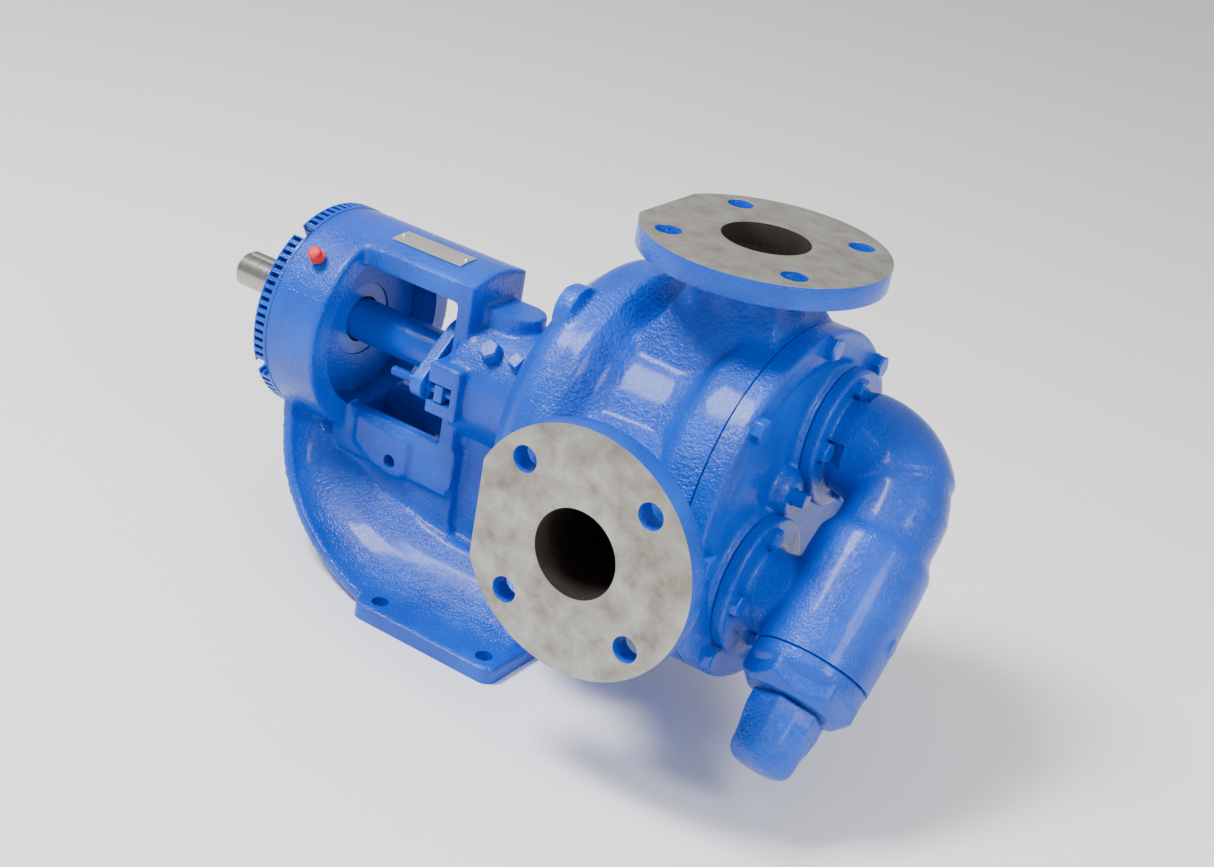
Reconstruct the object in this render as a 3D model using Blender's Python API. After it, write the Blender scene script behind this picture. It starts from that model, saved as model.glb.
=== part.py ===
"""Internal gear pump with a bearing bracket, flanged ports and a head-mounted relief valve.

Frame: metres, +Z up, +X along the shaft from the coupling end towards the head, the side port
faces -Y and the top port faces +Z.  The origin is the centre of the foot's underside.

Every piece hangs on the empty "pump_centre", which sits where the axes of the two ports and of
the shaft meet, so the sizes below are read from that point.
"""
import math

import bmesh
import bpy
from mathutils import Matrix, Vector

for old in list(bpy.data.objects):
    bpy.data.objects.remove(old)

MM = 0.001
GAP = 0.3 * MM                      # running or assembly gap where two solids touch
PHASE = 0.07                        # turns round cutters so that no two facets line up exactly

# ---------------------------------------------------------------- driving dimensions
SHAFT_HEIGHT = 177.8 * MM           # shaft axis above the foot's underside, 7 in
FOOT_X = (-225.0 * MM, -90.0 * MM)  # foot plate, from the ports' plane
FOOT_HALF_WIDTH = 118.0 * MM
FOOT_THICK = 12.7 * MM
FOOT_HOLE_X = (-207.8 * MM, -106.8 * MM)
FOOT_HOLE_Y = 103.5 * MM
FOOT_HOLE_R = 6.75 * MM

PORT_FLANGE_R = 88.9 * MM           # 2-1/2 in class 125 flange
PORT_FLANGE_THICK = 16.5 * MM
PORT_FACE = 182.5 * MM              # flange face from the shaft axis
PORT_BOLT_CIRCLE_R = 69.85 * MM
PORT_HOLE_R = 9.5 * MM
PORT_BORE_R = 31.5 * MM
PORT_NECK_R = 45.0 * MM
PORT_FLAT_X = -81.0 * MM            # the flanges are cut flat towards the bracket

CASING_X = (-85.6 * MM, 46.6 * MM)
CASING_RIM_R = 133.0 * MM
CASING_WAIST_R = 124.0 * MM
CASING_BORE_R = 95.7 * MM
GASKET_THICK = 0.5 * MM

HEAD_FACE = 64.0 * MM
HEAD_BOLT_CIRCLE_R = 124.5 * MM
HEAD_BOLTS = 8

ROTOR_R = 95.0 * MM
ROTOR_TEETH = 12
IDLER_TEETH = 8
GEAR_MODULE = 11.6 * MM
FINGER_TIP_R = 8.0 * MM             # rounded inner end of a rotor tooth
FINGER_ROOT_R = 10.0 * MM
FINGER_ROOT_CIRCLE = 85.0 * MM
IDLER_TIP_R = 55.5 * MM
ROTOR_PITCH_R = ROTOR_TEETH * GEAR_MODULE / 2
IDLER_PITCH_R = IDLER_TEETH * GEAR_MODULE / 2
IDLER_OFFSET = ROTOR_PITCH_R - IDLER_PITCH_R
TEETH_X = (-63.5 * MM, 46.0 * MM)
PIN_R = 14.0 * MM
PIN_END_X = 63.0 * MM
BUSHING_R = 19.0 * MM

SHAFT_R = 17.46 * MM                # 1-3/8 in
SHAFT_END_R = 14.29 * MM            # 1-1/8 in coupling end
SHAFT_END_X = -465.0 * MM
PACKING_BORE_R = 27.0 * MM
NECK_R = 50.0 * MM
NECK_END_X = -212.0 * MM
BRACKET_FACE_X = -86.3 * MM

BARREL_R = 85.0 * MM
BARREL_X = (-363.0 * MM, -316.0 * MM)
BARREL_BORE_R = 62.3 * MM
BARREL_MOUTH_R = 67.0 * MM
FRAME_HALF = 34.0 * MM              # half width of the beam, the end wall and the web
WINDOW_X = (-316.0 * MM, -224.0 * MM)
WINDOW_Z = (-57.0 * MM, 62.0 * MM)
WALL_END_X = -210.0 * MM
BEARING_R = 40.0 * MM
BEARING_X = (-369.0 * MM, -345.0 * MM)
NOTCHES = 24

STUD_Y = 49.0 * MM
STUD_Z = 4.0 * MM
STUD_R = 3.8 * MM

VALVE_X = 134.0 * MM                # relief valve axis in front of the ports' plane
VALVE_PORT = 63.0 * MM              # each valve flange from the shaft axis, along the valve
VALVE_FLANGE_R = 52.0 * MM
VALVE_FLANGE_X = (65.2 * MM, 75.0 * MM)
VALVE_BODY_R = 43.4 * MM
VALVE_BODY_END = 99.6 * MM
VALVE_BORE_R = 33.0 * MM
VALVE_SEAT_R = 22.0 * MM
VALVE_BOLT = (26.7 * MM, 31.8 * MM)  # bolt offsets along and across the valve

NECK_SCREW_X = -185.0 * MM           # screws on the neck stand 45 degrees round towards -Y
NECK_SLOPE_POINT = (-NECK_R * math.sqrt(0.5), NECK_R * math.sqrt(0.5))
NECK_SLOPE = (Matrix.Rotation(math.pi / 4, 4, "X") @ Matrix.Rotation(-math.pi / 2, 4, "Y")).to_euler()

# ---------------------------------------------------------------- finishes
PAINT = ("blue_enamel", (0.012, 0.115, 0.62), 0.28, 0.0)
BARE_IRON = ("machined_iron", (0.33, 0.32, 0.29), 0.42, 0.9)
STEEL = ("shaft_steel", (0.55, 0.54, 0.52), 0.25, 1.0)
BRONZE = ("bronze", (0.55, 0.34, 0.14), 0.38, 0.9)
PACKING = ("braided_packing", (0.06, 0.055, 0.05), 0.85, 0.0)
GASKET = ("gasket_sheet", (0.22, 0.17, 0.10), 0.8, 0.0)
RUBBER = ("seal_rubber", (0.02, 0.02, 0.02), 0.6, 0.0)
RED_PLASTIC = ("red_cap_plastic", (0.75, 0.02, 0.02), 0.35, 0.0)
PLATE = ("nameplate_metal", (0.42, 0.41, 0.35), 0.4, 0.8)


def finish_material(finish):
    """The one material of a finish, made the first time it is asked for."""
    name, colour, roughness, metallic = finish
    material = bpy.data.materials.get(name)
    if material is None:
        material = bpy.data.materials.new(name)
        material.use_nodes = True
        shader = material.node_tree.nodes["Principled BSDF"]
        shader.inputs["Base Color"].default_value = (*colour, 1.0)
        shader.inputs["Roughness"].default_value = roughness
        shader.inputs["Metallic"].default_value = metallic
    return material


def add_empty(name, location, rotation=None, parent=None):
    """An empty that carries a group of pieces, or marks a joint's axis."""
    empty = bpy.data.objects.new(name, None)
    bpy.context.scene.collection.objects.link(empty)
    empty.parent = parent
    empty.location = location
    if rotation is not None:
        empty.rotation_euler = rotation
    return empty


PUMP = add_empty("pump_centre", (-(FOOT_X[0] + FOOT_X[1]) / 2, 0.0, SHAFT_HEIGHT))
VALVE_AXIS = add_empty("valve_axis", (VALVE_X, 0.0, 0.0), None, PUMP)
# local +X runs down the valve to its cap, local +Y points away from the head
VALVE_AXIS.matrix_local = Matrix.Translation((VALVE_X, 0.0, 0.0)) @ Matrix((
    (0.0, 1.0, 0.0, 0.0),
    (-math.sqrt(0.5), 0.0, -math.sqrt(0.5), 0.0),
    (-math.sqrt(0.5), 0.0, math.sqrt(0.5), 0.0),
    (0.0, 0.0, 0.0, 1.0)))
IDLER_AXIS = add_empty("idler_axis", (0.0, -IDLER_OFFSET * math.sqrt(0.5), IDLER_OFFSET * math.sqrt(0.5)),
                       None, PUMP)


def new_object(name, mesh_builder, finish, parent=None, location=(0.0, 0.0, 0.0), rotation=(0.0, 0.0, 0.0)):
    """Link a mesh object made from a bmesh, with outward faces and smooth round sides."""
    bmesh.ops.recalc_face_normals(mesh_builder, faces=mesh_builder.faces)
    mesh = bpy.data.meshes.new(name)
    mesh_builder.to_mesh(mesh)
    mesh_builder.free()
    mesh.shade_smooth()
    mesh.set_sharp_from_angle(angle=math.radians(32.0))
    mesh.materials.append(finish_material(finish))
    piece = bpy.data.objects.new(name, mesh)
    bpy.context.scene.collection.objects.link(piece)
    piece.parent = PUMP if parent is None else parent
    piece.location = location
    piece.rotation_euler = rotation
    return piece


def ring_point(angle, radius, shape):
    """Distance from the axis at an angle, for a round, a hexagonal or a square section."""
    sides = {"round": 0, "hex": 6, "square": 4}[shape]
    if not sides:
        return radius
    half = math.pi / sides
    return radius / math.cos((angle % (2.0 * half)) - half)


def turned(name, profile, finish, segments=32, parent=None, location=(0.0, 0.0, 0.0),
           rotation=(0.0, 0.0, 0.0), closed=True):
    """A solid turned about local X from (x, radius) or (x, radius, shape) points.

    A closed profile makes a ring.  An open one starts and ends on flat end faces.
    """
    builder = bmesh.new()
    rings = []
    for entry in profile:
        along, radius = entry[0], entry[1]
        shape = entry[2] if len(entry) > 2 else "round"
        ring = []
        for step in range(segments):
            angle = 2.0 * math.pi * step / segments
            reach = ring_point(angle, radius, shape)
            ring.append(builder.verts.new((along, reach * math.cos(angle), reach * math.sin(angle))))
        rings.append(ring)
    count = len(rings)
    for index in range(count if closed else count - 1):
        near, far = rings[index], rings[(index + 1) % count]
        for step in range(segments):
            after = (step + 1) % segments
            builder.faces.new((near[step], near[after], far[after], far[step]))
    if not closed:
        builder.faces.new(rings[0])
        builder.faces.new(rings[-1])
    return new_object(name, builder, finish, parent, location, rotation)


def extruded(name, outline, start, end, finish, axis="x", parent=None, location=(0.0, 0.0, 0.0),
             rotation=(0.0, 0.0, 0.0)):
    """A flat outline pushed along an axis.  Outline points are (y, z), (x, z) or (x, y)."""
    place = {
        "x": lambda a, b, d: (d, a, b),
        "y": lambda a, b, d: (a, d, b),
        "z": lambda a, b, d: (a, b, d),
    }[axis]
    builder = bmesh.new()
    near = [builder.verts.new(place(a, b, start)) for a, b in outline]
    far = [builder.verts.new(place(a, b, end)) for a, b in outline]
    for step in range(len(outline)):
        after = (step + 1) % len(outline)
        builder.faces.new((near[step], near[after], far[after], far[step]))
    builder.faces.new(near)
    builder.faces.new(far)
    return new_object(name, builder, finish, parent, location, rotation)


def box(name, x_range, y_range, z_range, finish, parent=None, location=(0.0, 0.0, 0.0),
        rotation=(0.0, 0.0, 0.0)):
    """A rectangular block between two corners."""
    outline = [(x_range[0], y_range[0]), (x_range[1], y_range[0]),
               (x_range[1], y_range[1]), (x_range[0], y_range[1])]
    return extruded(name, outline, z_range[0], z_range[1], finish, "z", parent, location, rotation)


def arc(centre, radius, start_deg, end_deg, steps):
    """Points on an arc, both ends included."""
    points = []
    for step in range(steps + 1):
        angle = math.radians(start_deg + (end_deg - start_deg) * step / steps)
        points.append((centre[0] + radius * math.cos(angle), centre[1] + radius * math.sin(angle)))
    return points


def rounded_rectangle(x_range, y_range, radius, steps=4):
    """A rectangle with round corners, anticlockwise."""
    (left, right), (bottom, top) = x_range, y_range
    return (arc((right - radius, bottom + radius), radius, -90, 0, steps)
            + arc((right - radius, top - radius), radius, 0, 90, steps)
            + arc((left + radius, top - radius), radius, 90, 180, steps)
            + arc((left + radius, bottom + radius), radius, 180, 270, steps))


def combine(target, tool, operation):
    """Add a Boolean to the target and hide the tool that it reads."""
    modifier = target.modifiers.new(f"{operation.lower()}_{tool.name}", "BOOLEAN")
    modifier.object = tool
    modifier.operation = operation
    modifier.solver = "EXACT"
    tool.hide_render = True
    tool.display_type = "WIRE"


def join_on(target, *tools):
    for tool in tools:
        combine(target, tool, "UNION")


def cut_from(target, *tools):
    for tool in tools:
        combine(target, tool, "DIFFERENCE")


def cutter_along(name, axis, centre, radius, start, end, segments=24, parent=None):
    """A plain round cutter along X, Y or Z through a point of the other two axes."""
    rotation = {"x": (PHASE, 0, 0), "y": (PHASE, 0, math.pi / 2), "z": (PHASE, -math.pi / 2, 0)}[axis]
    location = {"x": (0, centre[0], centre[1]), "y": (centre[0], 0, centre[1]),
                "z": (centre[0], centre[1], 0)}[axis]
    return turned(name, [(start, radius), (end, radius)], PAINT, segments, parent, location, rotation,
                  closed=False)


def joined_cutters(name, cutters):
    """Several separate cutter bodies in one object, so that one Boolean takes them all."""
    builder = bmesh.new()
    for cutter in cutters:
        mesh = cutter.data.copy()
        mesh.transform(cutter.matrix_basis)
        builder.from_mesh(mesh)
        bpy.data.meshes.remove(mesh)
        parent = cutter.parent
        bpy.data.objects.remove(cutter)
    return new_object(name, builder, PAINT, parent)


def capscrew(name, location, rotation, across_flats, head_height, shank_r, shank_length, parent=None):
    """A hexagon head capscrew.  Its head stands on the seat at the origin, towards local +X."""
    half = across_flats / 2
    profile = [
        (-shank_length, shank_r),
        (GAP, shank_r),
        (GAP, half, "hex"),
        (head_height, half, "hex"),
    ]
    return turned(name, profile, PAINT, 12, parent, location, rotation, closed=False)


def square_plug(name, location, rotation, thread_r, across_flats, thread_length, head_height, parent=None):
    """A pipe plug with a square head standing towards local +X."""
    half = across_flats / 2
    profile = [
        (-thread_length, thread_r * 0.9),
        (GAP, thread_r),
        (GAP + 1.5 * MM, thread_r),
        (GAP + 1.5 * MM, half, "square"),
        (head_height, half * 0.94, "square"),
    ]
    return turned(name, profile, PAINT, 16, parent, location, rotation, closed=False)


# ---------------------------------------------------------------- casing
def port_neck(name, rotation):
    """The outside of one port: a flaring neck and its bolted flange, along local +X."""
    back = PORT_FACE - PORT_FLANGE_THICK
    profile = [
        (80.0 * MM, PORT_NECK_R),
        (140.0 * MM, PORT_NECK_R),
        (back - 8 * MM, PORT_NECK_R + 2 * MM),
        (back, PORT_NECK_R + 9 * MM),
        (back, PORT_FLANGE_R),
        (PORT_FACE, PORT_FLANGE_R),
    ]
    return turned(name, profile, PAINT, 32, None, (0, 0, 0), rotation, closed=False)


def make_casing():
    casing = turned("casing", [
        (CASING_X[0], 60 * MM),
        (CASING_X[1], 60 * MM),
        (CASING_X[1], CASING_RIM_R),
        (CASING_X[1] - 14 * MM, CASING_RIM_R),
        (CASING_X[1] - 22 * MM, CASING_WAIST_R),
        (CASING_X[0] + 24 * MM, CASING_WAIST_R),
        (CASING_X[0] + 15 * MM, CASING_RIM_R),
        (CASING_X[0], CASING_RIM_R),
    ], PAINT, 40)
    side = port_neck("side_port_neck", (0, 0, -math.pi / 2))
    top = port_neck("top_port_neck", (0, -math.pi / 2, 0))
    join_on(casing, side, top)

    main_bore = cutter_along("casing_bore_tool", "x", (0, 0), CASING_BORE_R, -100 * MM, 60 * MM, 40)
    port_tools = [
        cutter_along("side_bore_tool", "y", (0, 0), PORT_BORE_R, -200 * MM, -80 * MM, 24),
        cutter_along("top_bore_tool", "z", (0, 0), PORT_BORE_R, 80 * MM, 200 * MM, 24),
    ]
    for index in range(4):
        angle = math.radians(45 + 90 * index)
        offset = (PORT_BOLT_CIRCLE_R * math.cos(angle), PORT_BOLT_CIRCLE_R * math.sin(angle))
        port_tools.append(cutter_along(f"side_hole_tool_{index}", "y", offset, PORT_HOLE_R,
                                       -200 * MM, -150 * MM, 12))
        port_tools.append(cutter_along(f"top_hole_tool_{index}", "z", offset, PORT_HOLE_R,
                                       150 * MM, 200 * MM, 12))
    cut_from(casing, main_bore, joined_cutters("port_tools", port_tools))

    flats = [
        box("side_flat_tool", (-120 * MM, PORT_FLAT_X), (-195 * MM, -150 * MM), (-100 * MM, 100 * MM), PAINT),
        box("top_flat_tool", (-120 * MM, PORT_FLAT_X), (-100 * MM, 100 * MM), (150 * MM, 195 * MM), PAINT),
    ]
    screw_tools = []
    for index in range(HEAD_BOLTS):
        angle = 2 * math.pi * index / HEAD_BOLTS
        centre = (HEAD_BOLT_CIRCLE_R * math.cos(angle), HEAD_BOLT_CIRCLE_R * math.sin(angle))
        screw_tools.append(cutter_along(f"casing_tap_tool_{index}", "x", centre, 6.2 * MM,
                                        CASING_X[1] - 20 * MM, CASING_X[1] + 10 * MM, 8))
    cut_from(casing, joined_cutters("flat_tools", flats), joined_cutters("casing_tap_tools", screw_tools))
    return casing


# ---------------------------------------------------------------- head, gaskets and idler pin
def crescent_outline(steps=10, reach_deg=64.0):
    """Crescent between the rotor's tooth tips and the idler's, opposite the meshing point."""
    outer = ROTOR_PITCH_R - FINGER_TIP_R - 0.8 * MM
    inner = IDLER_TIP_R + 0.8 * MM
    toward = math.radians(135.0)
    points = []
    for step in range(steps + 1):
        swing = math.radians(-reach_deg + 2 * reach_deg * step / steps)
        angle = toward + math.pi + swing
        points.append((outer * math.cos(angle), outer * math.sin(angle)))
    for step in range(steps + 1):
        swing = math.radians(reach_deg - 2 * reach_deg * step / steps)
        angle = toward + math.pi + swing
        across = IDLER_OFFSET * math.sin(swing)
        reach = math.sqrt(inner * inner - across * across) - IDLER_OFFSET * math.cos(swing)
        points.append((reach * math.cos(angle), reach * math.sin(angle)))
    return points


def valve_port_centre(side):
    """Centre of a valve flange in the head's plane: side is -1 for the upper, +1 for the lower."""
    return (-side * VALVE_PORT * math.sqrt(0.5), -side * VALVE_PORT * math.sqrt(0.5))


def make_head():
    start = CASING_X[1] + 2 * GAP + GASKET_THICK
    head = turned("head", [
        (start, CASING_RIM_R),
        (HEAD_FACE - 3 * MM, CASING_RIM_R),
        (HEAD_FACE, CASING_RIM_R - 3 * MM),
    ], PAINT, 40, closed=False)
    pieces = []
    for side, label in ((-1, "upper"), (1, "lower")):
        centre = valve_port_centre(side)
        pieces.append(cutter_along(f"{label}_pad", "x", centre, VALVE_FLANGE_R + 1 * MM, start + 6 * MM,
                                   VALVE_FLANGE_X[0] - GASKET_THICK - 2 * GAP, 28))
    pieces.append(turned("pin_boss", [(start + 6 * MM, 14 * MM), (HEAD_FACE + 6 * MM, 14 * MM),
                                      (HEAD_FACE + 7 * MM, 13 * MM)],
                         PAINT, 20, IDLER_AXIS, closed=False))
    pieces.append(extruded("crescent", crescent_outline(), TEETH_X[0] + 1.5 * MM, start + 6 * MM, PAINT))
    join_on(head, *pieces)

    tools = []
    for index in range(HEAD_BOLTS):
        angle = 2 * math.pi * index / HEAD_BOLTS
        centre = (HEAD_BOLT_CIRCLE_R * math.cos(angle), HEAD_BOLT_CIRCLE_R * math.sin(angle))
        tools.append(cutter_along(f"head_hole_tool_{index}", "x", centre, 6.2 * MM, 40 * MM, 80 * MM, 8))
    for side in (-1, 1):
        centre = valve_port_centre(side)
        tools.append(cutter_along(f"head_passage_tool_{side}", "x", centre, 20 * MM, 40 * MM, 80 * MM, 16))
        for along in (-1, 1):
            for across in (-1, 1):
                offset = valve_bolt_place(side, along, across)
                tools.append(cutter_along(f"head_tap_tool_{side}_{along}_{across}", "x", offset, 5.1 * MM,
                                          HEAD_FACE - 12 * MM, HEAD_FACE + 10 * MM, 8))
    pin_tool = cutter_along("pin_tool", "x", (-IDLER_OFFSET * math.sqrt(0.5), IDLER_OFFSET * math.sqrt(0.5)),
                            PIN_R + GAP, 40 * MM, PIN_END_X + GAP, 20)
    plug_tool = turned("plug_tool", [(HEAD_FACE + 4 * MM, 8.6 * MM), (HEAD_FACE + 12 * MM, 8.6 * MM)], PAINT,
                       12, IDLER_AXIS, closed=False)
    cut_from(head, joined_cutters("head_tools", tools), pin_tool, plug_tool)
    return head


def valve_bolt_place(side, along, across):
    """Centre of a valve capscrew in the head's plane."""
    centre = valve_port_centre(side)
    down = -along * VALVE_BOLT[0] * math.sqrt(0.5)
    lean = across * VALVE_BOLT[1] * math.sqrt(0.5)
    return (centre[0] + down - lean, centre[1] + down + lean)


def gasket_ring(name, start, inner, outer, segments, centre=(0.0, 0.0)):
    end = start + GASKET_THICK
    return turned(name, [(start, inner), (end, inner), (end, outer), (start, outer)], GASKET, segments,
                  location=(0.0, centre[0], centre[1]))


def make_head_side():
    make_head()
    gasket_ring("head_gasket", CASING_X[1] + GAP, CASING_BORE_R + 1 * MM, 117.5 * MM, 32)
    gasket_ring("bracket_gasket", CASING_X[0] - GAP - GASKET_THICK + 0.1 * MM, CASING_BORE_R + 1 * MM,
                117.5 * MM, 32)
    for index in range(HEAD_BOLTS):
        angle = 2 * math.pi * index / HEAD_BOLTS
        place = (HEAD_FACE, HEAD_BOLT_CIRCLE_R * math.cos(angle), HEAD_BOLT_CIRCLE_R * math.sin(angle))
        capscrew(f"head_capscrew_{index + 1}", place, (math.radians(11 * index), 0, 0), 15.9 * MM,
                 7.4 * MM, 5.5 * MM, 33 * MM)
    turned("idler_pin", [(TEETH_X[0] + 2 * MM, PIN_R - 1 * MM), (TEETH_X[0] + 3 * MM, PIN_R),
                         (PIN_END_X, PIN_R)], STEEL, 20, IDLER_AXIS, closed=False)
    square_plug("idler_pin_plug", (HEAD_FACE + 7 * MM, 0, 0), (math.radians(20), 0, 0), 8.0 * MM, 11.0 * MM,
                1.5 * MM, 10.0 * MM, IDLER_AXIS)


# ---------------------------------------------------------------- rotor and idler
def finger_outline(angle):
    """Section of one rotor tooth: a round inner tip that widens to the rotor's outside."""
    lean = math.asin((FINGER_ROOT_R - FINGER_TIP_R) / (FINGER_ROOT_CIRCLE - ROTOR_PITCH_R))
    points = []
    for step in range(7):
        turn = math.pi / 2 + lean + (math.pi - 2 * lean) * step / 6
        points.append((ROTOR_PITCH_R + FINGER_TIP_R * math.cos(turn), FINGER_TIP_R * math.sin(turn)))
    outside = ROTOR_R - 0.4 * MM
    half = math.asin((FINGER_ROOT_R + 1.2 * MM) / outside)
    for step in range(3):
        turn = -half + half * step
        points.append((outside * math.cos(turn), outside * math.sin(turn)))
    cosine, sine = math.cos(angle), math.sin(angle)
    return [(x * cosine - y * sine, x * sine + y * cosine) for x, y in points]


def make_rotor():
    rotor = turned("rotor", [
        (TEETH_X[0] - 20.5 * MM, SHAFT_R + GAP),
        (TEETH_X[0] - 2 * MM, SHAFT_R + GAP),
        (TEETH_X[0] - 2 * MM, ROTOR_R),
        (TEETH_X[0] - 20.5 * MM, ROTOR_R),
    ], BARE_IRON, 36)
    fingers = []
    for index in range(ROTOR_TEETH):
        angle = math.radians(135.0) + 2 * math.pi * index / ROTOR_TEETH
        fingers.append(extruded(f"finger_{index}", finger_outline(angle), TEETH_X[0] - 8 * MM, TEETH_X[1],
                                BARE_IRON))
    join_on(rotor, joined_cutters("rotor_fingers", fingers))
    return rotor


def finger_circles():
    """Circles that fill one rotor tooth's section, as (distance from the rotor's axis, radius)."""
    circles = []
    for step in range(9):
        share = step / 8
        circles.append((ROTOR_PITCH_R + share * (FINGER_ROOT_CIRCLE - ROTOR_PITCH_R),
                        FINGER_TIP_R + share * (FINGER_ROOT_R - FINGER_TIP_R)))
    return circles


def idler_outline(points_per_tooth=14, clearance=0.35 * MM):
    """Idler gear section: what the rotor's teeth leave free while the pair turns together.

    In the idler's own frame each rotor tooth sweeps a path.  At every polar angle the outline
    stops where the first swept circle begins.
    """
    phases = 120
    tooth_angle = 2 * math.pi / IDLER_TEETH
    swept = []
    for phase in range(-phases, phases + 1):
        rotor_turn = 0.5 * math.pi * phase / phases
        idler_turn = rotor_turn * ROTOR_TEETH / IDLER_TEETH
        for distance, radius in finger_circles():
            x = -IDLER_OFFSET + distance * math.cos(rotor_turn)
            y = distance * math.sin(rotor_turn)
            cosine, sine = math.cos(-idler_turn), math.sin(-idler_turn)
            swept.append((x * cosine - y * sine, x * sine + y * cosine, radius + clearance))
    outline = []
    for tooth in range(IDLER_TEETH):
        for step in range(points_per_tooth):
            local = tooth_angle * (step / points_per_tooth - 0.5)
            reach = IDLER_TIP_R
            for x, y, radius in swept:
                for turn in (-tooth_angle, 0.0, tooth_angle):
                    angle = local + turn
                    along = x * math.cos(angle) + y * math.sin(angle)
                    aside = -x * math.sin(angle) + y * math.cos(angle)
                    if along > 0 and abs(aside) < radius:
                        reach = min(reach, along - math.sqrt(radius * radius - aside * aside))
            angle = math.radians(135.0) + tooth * tooth_angle + local
            outline.append((reach * math.cos(angle), reach * math.sin(angle)))
    return outline


def make_idler():
    idler = extruded("idler_gear", idler_outline(), TEETH_X[0] + 0.6 * MM, TEETH_X[1] - 0.4 * MM, BARE_IRON,
                     parent=IDLER_AXIS)
    bore = cutter_along("idler_bore_tool", "x", (0, 0), BUSHING_R + GAP, -90 * MM, 80 * MM, 20, IDLER_AXIS)
    cut_from(idler, bore)
    start, end = TEETH_X[0] + 1.2 * MM, TEETH_X[1] - 1.0 * MM
    turned("idler_bushing", [(start, PIN_R + 0.2 * MM), (end, PIN_R + 0.2 * MM), (end, BUSHING_R),
                             (start, BUSHING_R)], BRONZE, 20, IDLER_AXIS)
    return idler


# ---------------------------------------------------------------- shaft and bearing
def make_shaft():
    inner_end = TEETH_X[0] - 2.5 * MM
    shaft = turned("shaft", [
        (SHAFT_END_X, SHAFT_END_R - 1.2 * MM),
        (SHAFT_END_X + 1.2 * MM, SHAFT_END_R),
        (-384.0 * MM, SHAFT_END_R),
        (-384.0 * MM, 15.6 * MM),
        (BEARING_X[0], 15.6 * MM),
        (BEARING_X[0], 16.8 * MM),
        (BEARING_X[1] + 2 * MM, 16.8 * MM),
        (BEARING_X[1] + 2 * MM, SHAFT_R),
        (inner_end, SHAFT_R),
    ], STEEL, 24, closed=False)
    keyway = box("keyway_tool", (SHAFT_END_X + 6 * MM, SHAFT_END_X + 52 * MM), (-3.2 * MM, 3.2 * MM),
                 (SHAFT_END_R - 3.5 * MM, SHAFT_END_R + 5 * MM), STEEL)
    cut_from(shaft, keyway)
    box("shaft_key", (SHAFT_END_X + 6.5 * MM, SHAFT_END_X + 51.5 * MM), (-2.9 * MM, 2.9 * MM),
        (SHAFT_END_R - 3.2 * MM, SHAFT_END_R + 2.8 * MM), STEEL)
    return shaft


def make_ball_ring():
    """The bearing's cage with its balls, as one body that rolls between the races."""
    middle = (BEARING_X[0] + BEARING_X[1]) / 2
    cage = turned("bearing_ball_cage", [
        (middle - 5 * MM, 27.2 * MM), (middle + 5 * MM, 27.2 * MM),
        (middle + 5 * MM, 29.4 * MM), (middle - 5 * MM, 29.4 * MM),
    ], STEEL, 18)
    balls = bmesh.new()
    for index in range(7):
        angle = 2 * math.pi * index / 7
        place = Matrix.Translation((middle, 28.3 * MM * math.cos(angle), 28.3 * MM * math.sin(angle)))
        bmesh.ops.create_icosphere(balls, subdivisions=1, radius=5.6 * MM,
                                   matrix=place @ Matrix.Rotation(angle + 0.1, 4, "X"))
    join_on(cage, new_object("bearing_balls", balls, STEEL))


def make_bearing_group():
    start, end = BEARING_X
    turned("bearing_inner_race", [(start, 16.8 * MM + GAP), (end, 16.8 * MM + GAP), (end, 22.3 * MM),
                                  (start, 22.3 * MM)], STEEL, 24)
    turned("bearing_outer_race", [(start, 34.3 * MM), (end, 34.3 * MM), (end, BEARING_R), (start, BEARING_R)],
           STEEL, 24)
    make_ball_ring()
    turned("bearing_locknut", [(start - 9 * MM, 15.6 * MM + GAP), (start - GAP, 15.6 * MM + GAP),
                               (start - GAP, 24.0 * MM), (start - 9 * MM, 24.0 * MM)], STEEL, 20)

    housing = turned("bearing_housing", [
        (-376.5 * MM, BEARING_R + GAP),
        (end + GAP, BEARING_R + GAP),
        (end + GAP, 30.3 * MM),
        (-337.0 * MM, 30.3 * MM),
        (-337.0 * MM, BARREL_BORE_R - GAP),
        (BARREL_X[0] - GAP, BARREL_BORE_R - GAP),
        (BARREL_X[0] - GAP, BARREL_R + 0.5 * MM),
        (-376.5 * MM, BARREL_R + 0.5 * MM),
    ], PAINT, 48)
    notch_tools = []
    for index in range(NOTCHES):
        angle = 2 * math.pi * (index + 0.5) / NOTCHES
        tool = box(f"notch_{index}", (-372.8 * MM, -366.6 * MM), (-3.1 * MM, 3.1 * MM),
                   (BARREL_R - 6.0 * MM, BARREL_R + 6 * MM), PAINT, rotation=(angle, 0, 0))
        notch_tools.append(tool)
    cut_from(housing, joined_cutters("notch_tools", notch_tools))

    turned("bearing_end_cap", [
        (-381.5 * MM, 25.8 * MM), (start - GAP, 25.8 * MM), (start - GAP, BEARING_R - 0.2 * MM),
        (-376.9 * MM, BEARING_R - 0.2 * MM), (-376.9 * MM, 50 * MM), (-380.5 * MM, 50 * MM),
        (-381.5 * MM, 48 * MM),
    ], PAINT, 24)
    turned("lip_seal_outboard", [(-381.0 * MM, 15.9 * MM), (-379.0 * MM, 15.9 * MM), (-379.0 * MM, 25.5 * MM),
                                 (-381.0 * MM, 25.4 * MM)], RUBBER, 24)
    turned("lip_seal_inboard", [(-343.5 * MM, SHAFT_R + 0.2 * MM), (-337.5 * MM, SHAFT_R + 0.2 * MM),
                                (-337.5 * MM, 30.0 * MM), (-343.5 * MM, 29.9 * MM)], RUBBER, 24)


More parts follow.
